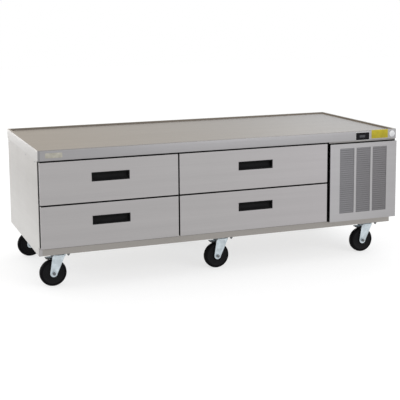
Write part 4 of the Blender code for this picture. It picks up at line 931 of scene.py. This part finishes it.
def make_pull(looks, row, column):
    """A recessed pull: a flat flange round a scoop that curves forward to its lower lip."""
    node = f"{row}_{column}_drawer_pull"
    low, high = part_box(node)
    seat = span(f"{row}_{column}_drawer_front", "y")[0] - SKIN
    bm = bmesh.new()

    def ring(inset, y):
        x, z = within((low.x, high.x), inset), within((low.z, high.z), inset)
        return [bm.verts.new((x[i], y, z[k])) for i, k in ((0, 0), (1, 0), (1, 1), (0, 1))]

    back = low.y + PULL_DEPTH
    loops = [
        ring(PULL_EDGE, back + PULL_WALL),
        ring(PULL_EDGE, seat),
        ring(0.0, seat),
        ring(0.0, low.y + PULL_ROUND),
        ring(PULL_ROUND, low.y),
        ring(PULL_EDGE - PULL_LIP, low.y),
        ring(PULL_EDGE + PULL_LIP, low.y + PULL_STEP),
    ]
    bm.faces.new(loops[0])
    join_rings(bm, loops)
    mouth = loops[-1]
    top, floor = high.z - PULL_EDGE - PULL_LIP, low.z + PULL_EDGE + PULL_LIP
    curve = (top - floor) * PULL_CURVE
    section = [(back, top - 2 * PULL_ROUND), (back, floor + curve)]
    for step in range(1, PULL_STEPS):
        turn = math.pi / 2 * step / PULL_STEPS
        y = back - (back - low.y - PULL_STEP) * (1 - math.cos(turn))
        section.append((y, floor + curve * (1 - math.sin(turn))))
    sides = []
    for x, ends in ((mouth[0].co.x, (mouth[3], mouth[0])), (mouth[1].co.x, (mouth[2], mouth[1]))):
        sides.append([ends[0], *(bm.verts.new((x, y, z)) for y, z in section), ends[1]])
        bm.faces.new(sides[-1])
    join_rows(bm, *sides)
    pull = piece(f"{row}_{column}_pull", bm, looks["pull"], f"{row}_{column}_drawer")
    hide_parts(node)


def make_name_plate(looks):
    """The blank plate at the left of the apron."""
    low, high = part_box("worktop")
    half_x, half_z = PLATE_HALF
    centre = Vector((low.x + PLATE_LEFT + half_x, low.y, (low.z + high.z) / 2 - PLATE_DROP))
    bm = bmesh.new()
    rings = [
        rounded_ring(bm, centre, low.y - proud, half_x - inset, half_z - inset, PLATE_CORNER - inset)
        for inset, proud in PLATE_STEPS
    ]
    join_rings(bm, rings)
    bm.faces.new(rings[0])
    bm.faces.new(rings[-1])
    piece("blank_name_plate", bm, looks["plate"])


def make_controller(looks):
    """The controller: a bezel with a recessed window, a row of flush keys and a thin surround."""
    low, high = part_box("temperature_controller")
    centre, half = (low + high) / 2, (high - low) / 2
    face, glass = low.y, low.y + WINDOW_DEPTH
    window = centre - Vector((half.x * WINDOW_ASIDE, 0, 0))
    window_x, window_z = half.x * WINDOW_SHARES[0], half.z * WINDOW_SHARES[1]
    bm = bmesh.new()
    rings = [
        rounded_ring(bm, centre, face + back, half.x + grow, half.z + grow, BEZEL_CORNER)
        for grow, back in BEZEL_STEPS
    ]
    rings += [
        rounded_ring(bm, window, y, window_x - inset, window_z - inset, WINDOW_CORNER)
        for inset, y in ((0.0, face), (WINDOW_SLOPE, glass))
    ]
    join_rings(bm, rings)
    bezel = piece("controller_bezel", bm, looks["bezel"])
    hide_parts("temperature_controller")

    bm = bmesh.new()
    sheet = span("upper_left_drawer_front", "y")[0]
    rings = [
        rounded_ring(bm, centre, sheet - proud, half.x + grow, half.z + grow, BEZEL_CORNER + grow)
        for grow, proud in SURROUND_STEPS
    ]
    join_rings(bm, rings, closed=True)
    piece("controller_surround", bm, looks["surround"])

    bm = bmesh.new()
    bm.faces.new(rounded_ring(bm, window, glass, window_x, window_z, WINDOW_CORNER))
    half_wide, half_tall = window_x * SEGMENT_HALF[0], SEGMENT_HALF[1]
    for digit in (-1, 0, 1):
        for bar in (-1, 0, 1):
            x = window.x + digit * window_x * SEGMENT_SPACING[0]
            z = window.z + bar * window_z * SEGMENT_SPACING[1]
            add_box(bm, around(x, half_wide), (glass - SEGMENT_PROUD, glass), around(z, half_tall))
    piece("controller_window", bm, looks["window"])

    bm = bmesh.new()
    upright = around(low.z + half.z * KEY_RISE, KEY_HALF[1])
    for key in range(KEY_COUNT):
        across = around(centre.x + half.x * (KEY_START + key * KEY_PITCH), KEY_HALF[0])
        add_box(bm, across, (face, face + KEY_DEPTH), upright, KEY_ROUND)
    piece("controller_keys", bm, looks["hub"])


def rounded_ring(bm, centre, y, half_x, half_z, radius, steps=5):
    """An upright rectangle with round corners, at this depth."""
    points = []
    for quarter, (side_x, side_z) in enumerate(((1, 1), (-1, 1), (-1, -1), (1, -1))):
        for step in range(steps + 1):
            turn = (quarter + step / steps) * math.pi / 2
            x = centre.x + side_x * (half_x - radius) + radius * math.cos(turn)
            z = centre.z + side_z * (half_z - radius) + radius * math.sin(turn)
            points.append(bm.verts.new((x, y, z)))
    return points


def make_apron_marks(looks):
    """The blank yellow label, which folds over the apron's top edge, and the blank disc."""
    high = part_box("worktop")[1]
    face = span("upper_left_drawer_front", "y")[0]
    right, bend = high.x - LABEL_RIGHT, LABEL_BEND
    bm = bmesh.new()
    section = [(face - SKIN, high.z - LABEL_SIZE[1]), (face - SKIN, high.z - bend)]
    for step in range(1, 5):
        turn = math.pi / 2 * step / 4
        y = face + bend - (bend + SKIN) * math.cos(turn)
        section.append((y, high.z - bend + bend * math.sin(turn)))
    rows = [[bm.verts.new((x, y, z)) for y, z in section] for x in (right - LABEL_SIZE[0], right)]
    join_rows(bm, *rows)
    piece("blank_label", bm, looks["label"])
    bm = bmesh.new()
    place = (high.x - DISC_RIGHT, face, high.z - DISC_DROP)
    radius, thick = DISC_RADIUS, DISC_THICK
    add_turned(bm, ((0, -thick), (radius * 0.96, -thick), (radius, -SKIN), (radius, 0)), 40, place, "y")
    piece("blank_disc", bm, looks["disc"])


def make_panel_trim(looks):
    """Black strips at the louvred panel's left and top edges and a darker steel header over it, all
    painted shade in the gaps, and the filter behind it.
    """
    low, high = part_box("louvre_panel")
    bm = bmesh.new()
    thick = PANEL_SEAL
    side, over = ((low.y + setback, high.y) for setback in SEAL_SETBACKS)
    add_box(bm, (low.x - thick * SEAL_SHARE, low.x), side, (low.z, high.z), HEM_ROUND)
    add_box(bm, (low.x, high.x - SEAL_END), over, (high.z, high.z + thick), thick / 4)
    piece("panel_shade_strips", bm, looks["gasket"])
    apron = span("worktop", "z")[0]
    bm = bmesh.new()
    across = (low.x - thick, span("right_side_panel", "x")[1] - thick)
    deep = [low.y + depth for depth in HEADER_DEPTH]
    add_box(bm, across, deep, (apron - HEADER_DROP, apron - SKIN), SOFT)
    piece("bay_header", bm, looks["steel_header_painted_shade"])
    bm = bmesh.new()
    across = within((low.x, high.x), FILTER_INSET)
    deep = [high.y - depth for depth in FILTER_DEPTH]
    add_box(bm, across, deep, (low.z + FILTER_INSET, high.z - FILTER_DROP), thick / 4)
    piece("bay_filter", bm, looks["filter"])


def make_rail_cap(looks):
    """The foot of the left end panel, folded round the end of the base's front rail."""
    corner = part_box("base_pan")[0] + Vector((0, RAIL_SETBACK, 0))
    across = (corner.x + SKIN, corner.x + RAIL_CAP)
    upright = (corner.z + SKIN, corner.z + RAIL_HEIGHT)
    bm = bmesh.new()
    add_box(bm, across, (corner.y - PANEL_SHEET, corner.y + SKIN), upright, SOFT)
    piece("rail_end_cap", bm, looks["steel_x"])


def make_side_screws(looks):
    """Screws along the top of both end panels and round the back panel."""
    bm = bmesh.new()
    left, right = span("left_side_panel", "x")[0], span("right_side_panel", "x")[1]
    front, back = span("left_side_panel", "y")
    height = span("worktop", "z")[0] - SCREW_DROP
    for share in SIDE_SCREW_SHARES:
        y = front + share * (back - front)
        add_screw(bm, (left, y, height), "-x", PANEL_SCREW)
        add_screw(bm, (right, y, height), "x", PANEL_SCREW)
    low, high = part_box("back_panel")
    for share in BACK_SCREW_SHARES:
        x = low.x + share * (high.x - low.x)
        for z in (low.z + SCREW_RISE, height):
            add_screw(bm, (x, high.y, z), "y", BACK_SCREW)
    piece("panel_screws", bm, looks["bolt"])


def make_wheel(looks, place):
    """A caster wheel with a rounded tread, a stepped web and a bearing hub."""
    node = f"caster_wheel_{place}"
    centre = middle(node)
    (low, high), (left, right) = span(node, "y"), span(node, "x")
    half, radius = (high - low) / 2, (right - left) / 2
    upper = [(away, half * share) for away, share in HUB_PROFILE]
    for step in range(5):
        turn = math.pi / 2 * step / 4
        away = radius - TREAD_ROUND[0] * (1 - math.sin(turn))
        upper.append((away, half * TREAD_SHARE - TREAD_ROUND[1] * (1 - math.cos(turn))))
    profile = upper + [(away, -height) for away, height in reversed(upper)] + [upper[0]]
    bm = bmesh.new()
    add_turned(bm, profile, WHEEL_SEGMENTS, centre, "y")
    wheel = piece(f"wheel_{place}", bm, looks["rubber"], f"wheel_{place}", smooth=28.0)
    wheel.data.materials.append(looks["hub"])
    for face in wheel.data.polygons:
        away = Vector((face.center.x - centre.x, face.center.z - centre.z)).length
        face.material_index = 1 if away < HUB_RADIUS else 0
    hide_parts(node)


def make_fork_trim(looks, place):
    """The axle's nuts and the bearing ring on a fork."""
    low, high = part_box(f"caster_fork_{place}")
    wheel = middle(f"caster_wheel_{place}")
    bm = bmesh.new()
    for face, sign in ((low.y, -1), (high.y, 1)):
        profile = [(away, sign * height) for away, height in AXLE_NUT]
        add_turned(bm, profile, 6, (wheel.x, face, wheel.z), "y")
    add_ring(bm, *RACE_RING, (wheel.x + TRAIL, wheel.y, high.z - RACE_DROP))
    piece(f"fork_trim_{place}", bm, looks["nut"], f"fork_{place}")


def make_mount_bolts(looks, place):
    """The bolts that hold the top plates to the base."""
    low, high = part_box(f"caster_mount_{place}")
    centre_x = (low.x + high.x) / 2
    under = high.z - PLATE_THICKNESS
    bm = bmesh.new()
    for mount_y in around(0, MOUNT_Y):
        for x in around(centre_x, PLATE_HOLES[0]):
            for y in around(mount_y, PLATE_HOLES[1]):
                add_bolt(bm, (x, y, under), -1)
    piece(f"mount_bolts_{place}", bm, looks["nut"])


def make_brake_trim(looks, place):
    """The bright spring plate on the brake pedal."""
    low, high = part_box(f"brake_pedal_{place}")
    top = low.z + SPRING_RISE
    across = [low.x + offset for offset in SPRING_X]
    bm = bmesh.new()
    add_box(bm, across, within((low.y, high.y), SPRING_INSET), (top, top + SPRING_PLATE), SKIN)
    piece(f"brake_plate_{place}", bm, looks["zinc"], f"brake_{place}")


def make_condensing_detail(looks):
    """Fan guard, return bends, discharge line and terminal cover in the machine bay."""
    low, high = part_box("condenser_coil")
    plate = high.y + PLENUM
    bm = bmesh.new()
    legs = [(away, plate + y) for away, y in BAY_GUARD_LEGS]
    fan = middle("condenser_fan")
    add_guard(bm, fan, plate + BAY_GUARD_Y, BAY_GUARD_RADII, legs, BAY_GUARD_WIRES, steps=48)
    piece("fan_guard", bm, looks["bolt"])

    bm = bmesh.new()
    y = (low.y + high.y) / 2 + BEND_ASIDE
    for side, direction in ((low.x, -1), (high.x, 1)):
        for bend in range(BEND_COUNT):
            z = low.z + BEND_START + bend * BEND_PITCH
            points = []
            for step in range(BEND_STEPS + 1):
                turn = math.pi * step / BEND_STEPS
                x = side + direction * BEND_REACH * math.sin(turn)
                points.append((x, y + BEND_HALF * math.cos(turn), z))
            add_tube(bm, points, BEND_PIPE, sides=8, steps=2)
    piece("condenser_bends", bm, looks["copper"])

    can = middle("compressor")
    foot, head = span("compressor", "z")
    route = (
        (can.x + 0.06, can.y + 0.03, head - 0.06),
        (can.x + 0.1, can.y + 0.03, head - 0.052),
        (can.x + 0.108, can.y - 0.02, head - 0.01),
        (can.x + 0.1, can.y - 0.12, head + 0.02),
        (high.x - 0.012, high.y + 0.06, high.z - 0.06),
        (high.x + 0.006, high.y + 0.012, high.z - 0.03),
        (high.x + 0.004, high.y - 0.02, high.z - 0.03),
    )
    bm = bmesh.new()
    add_tube(bm, route, LINE_PIPE, sides=10, steps=6)
    piece("discharge_line", bm, looks["copper"])
    bm = bmesh.new()
    starts = (can.x, can.y, foot)
    limits = [[start + edge for edge in edges] for start, edges in zip(starts, TERMINAL_BOX)]
    add_box(bm, *limits, TERMINAL_ROUND, segments=3)
    piece("terminal_cover", bm, looks["pull"])


def make_box_detail(looks):
    """Screws and cable glands on the control box."""
    low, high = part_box("control_box")
    bm = bmesh.new()
    for y in within((low.y, high.y), BOX_INSET):
        for z in within((low.z, high.z), BOX_INSET):
            add_screw(bm, (high.x, y, z), "x", COVER_SCREW)
    for y in within((low.y, high.y), GLAND_INSET):
        add_turned(bm, GLAND_PROFILE, 16, ((low.x + high.x) / 2, y, low.z))
    piece("control_box_fittings", bm, looks["bolt"])


def make_evaporator_detail(looks):
    """The guard before the evaporator's fan and the cover's screws."""
    low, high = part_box("evaporator_cover")
    legs = [(away, low.y + y) for away, y in COLD_GUARD_LEGS]
    bm = bmesh.new()
    fan = middle("evaporator_fan")
    add_guard(bm, fan, legs[0][1], COLD_GUARD_RADII, legs, COLD_GUARD_WIRES, steps=40)
    for x in within((low.x, high.x), COVER_INSET):
        for z in within((low.z, high.z), COVER_INSET):
            add_screw(bm, (x, low.y, z), "-y", COVER_SCREW)
    piece("evaporator_guard", bm, looks["bolt"])


def main():
    """The whole picture, from the camera and the studio to the smallest trim."""
    bpy.context.scene.view_settings.view_transform = "Standard"
    make_camera()
    make_world()
    make_floor()
    make_lamps()
    looks = make_looks()
    dress_frame_nodes(looks)
    make_worktop(looks)
    make_louvre_panel(looks)
    for row in ("upper", "lower"):
        for column in ("left", "right"):
            make_front_edges(looks, row, column)
            make_pull(looks, row, column)
    make_controller(looks)
    make_apron_marks(looks)
    make_name_plate(looks)
    make_panel_trim(looks)
    make_rail_cap(looks)
    make_side_screws(looks)
    for place in ("left", "middle", "right"):
        make_mount_bolts(looks, place)
        make_brake_trim(looks, place)
        for row in ("front", "rear"):
            make_wheel(looks, f"{row}_{place}")
            make_fork_trim(looks, f"{row}_{place}")
    make_condensing_detail(looks)
    make_box_detail(looks)
    make_evaporator_detail(looks)


main()
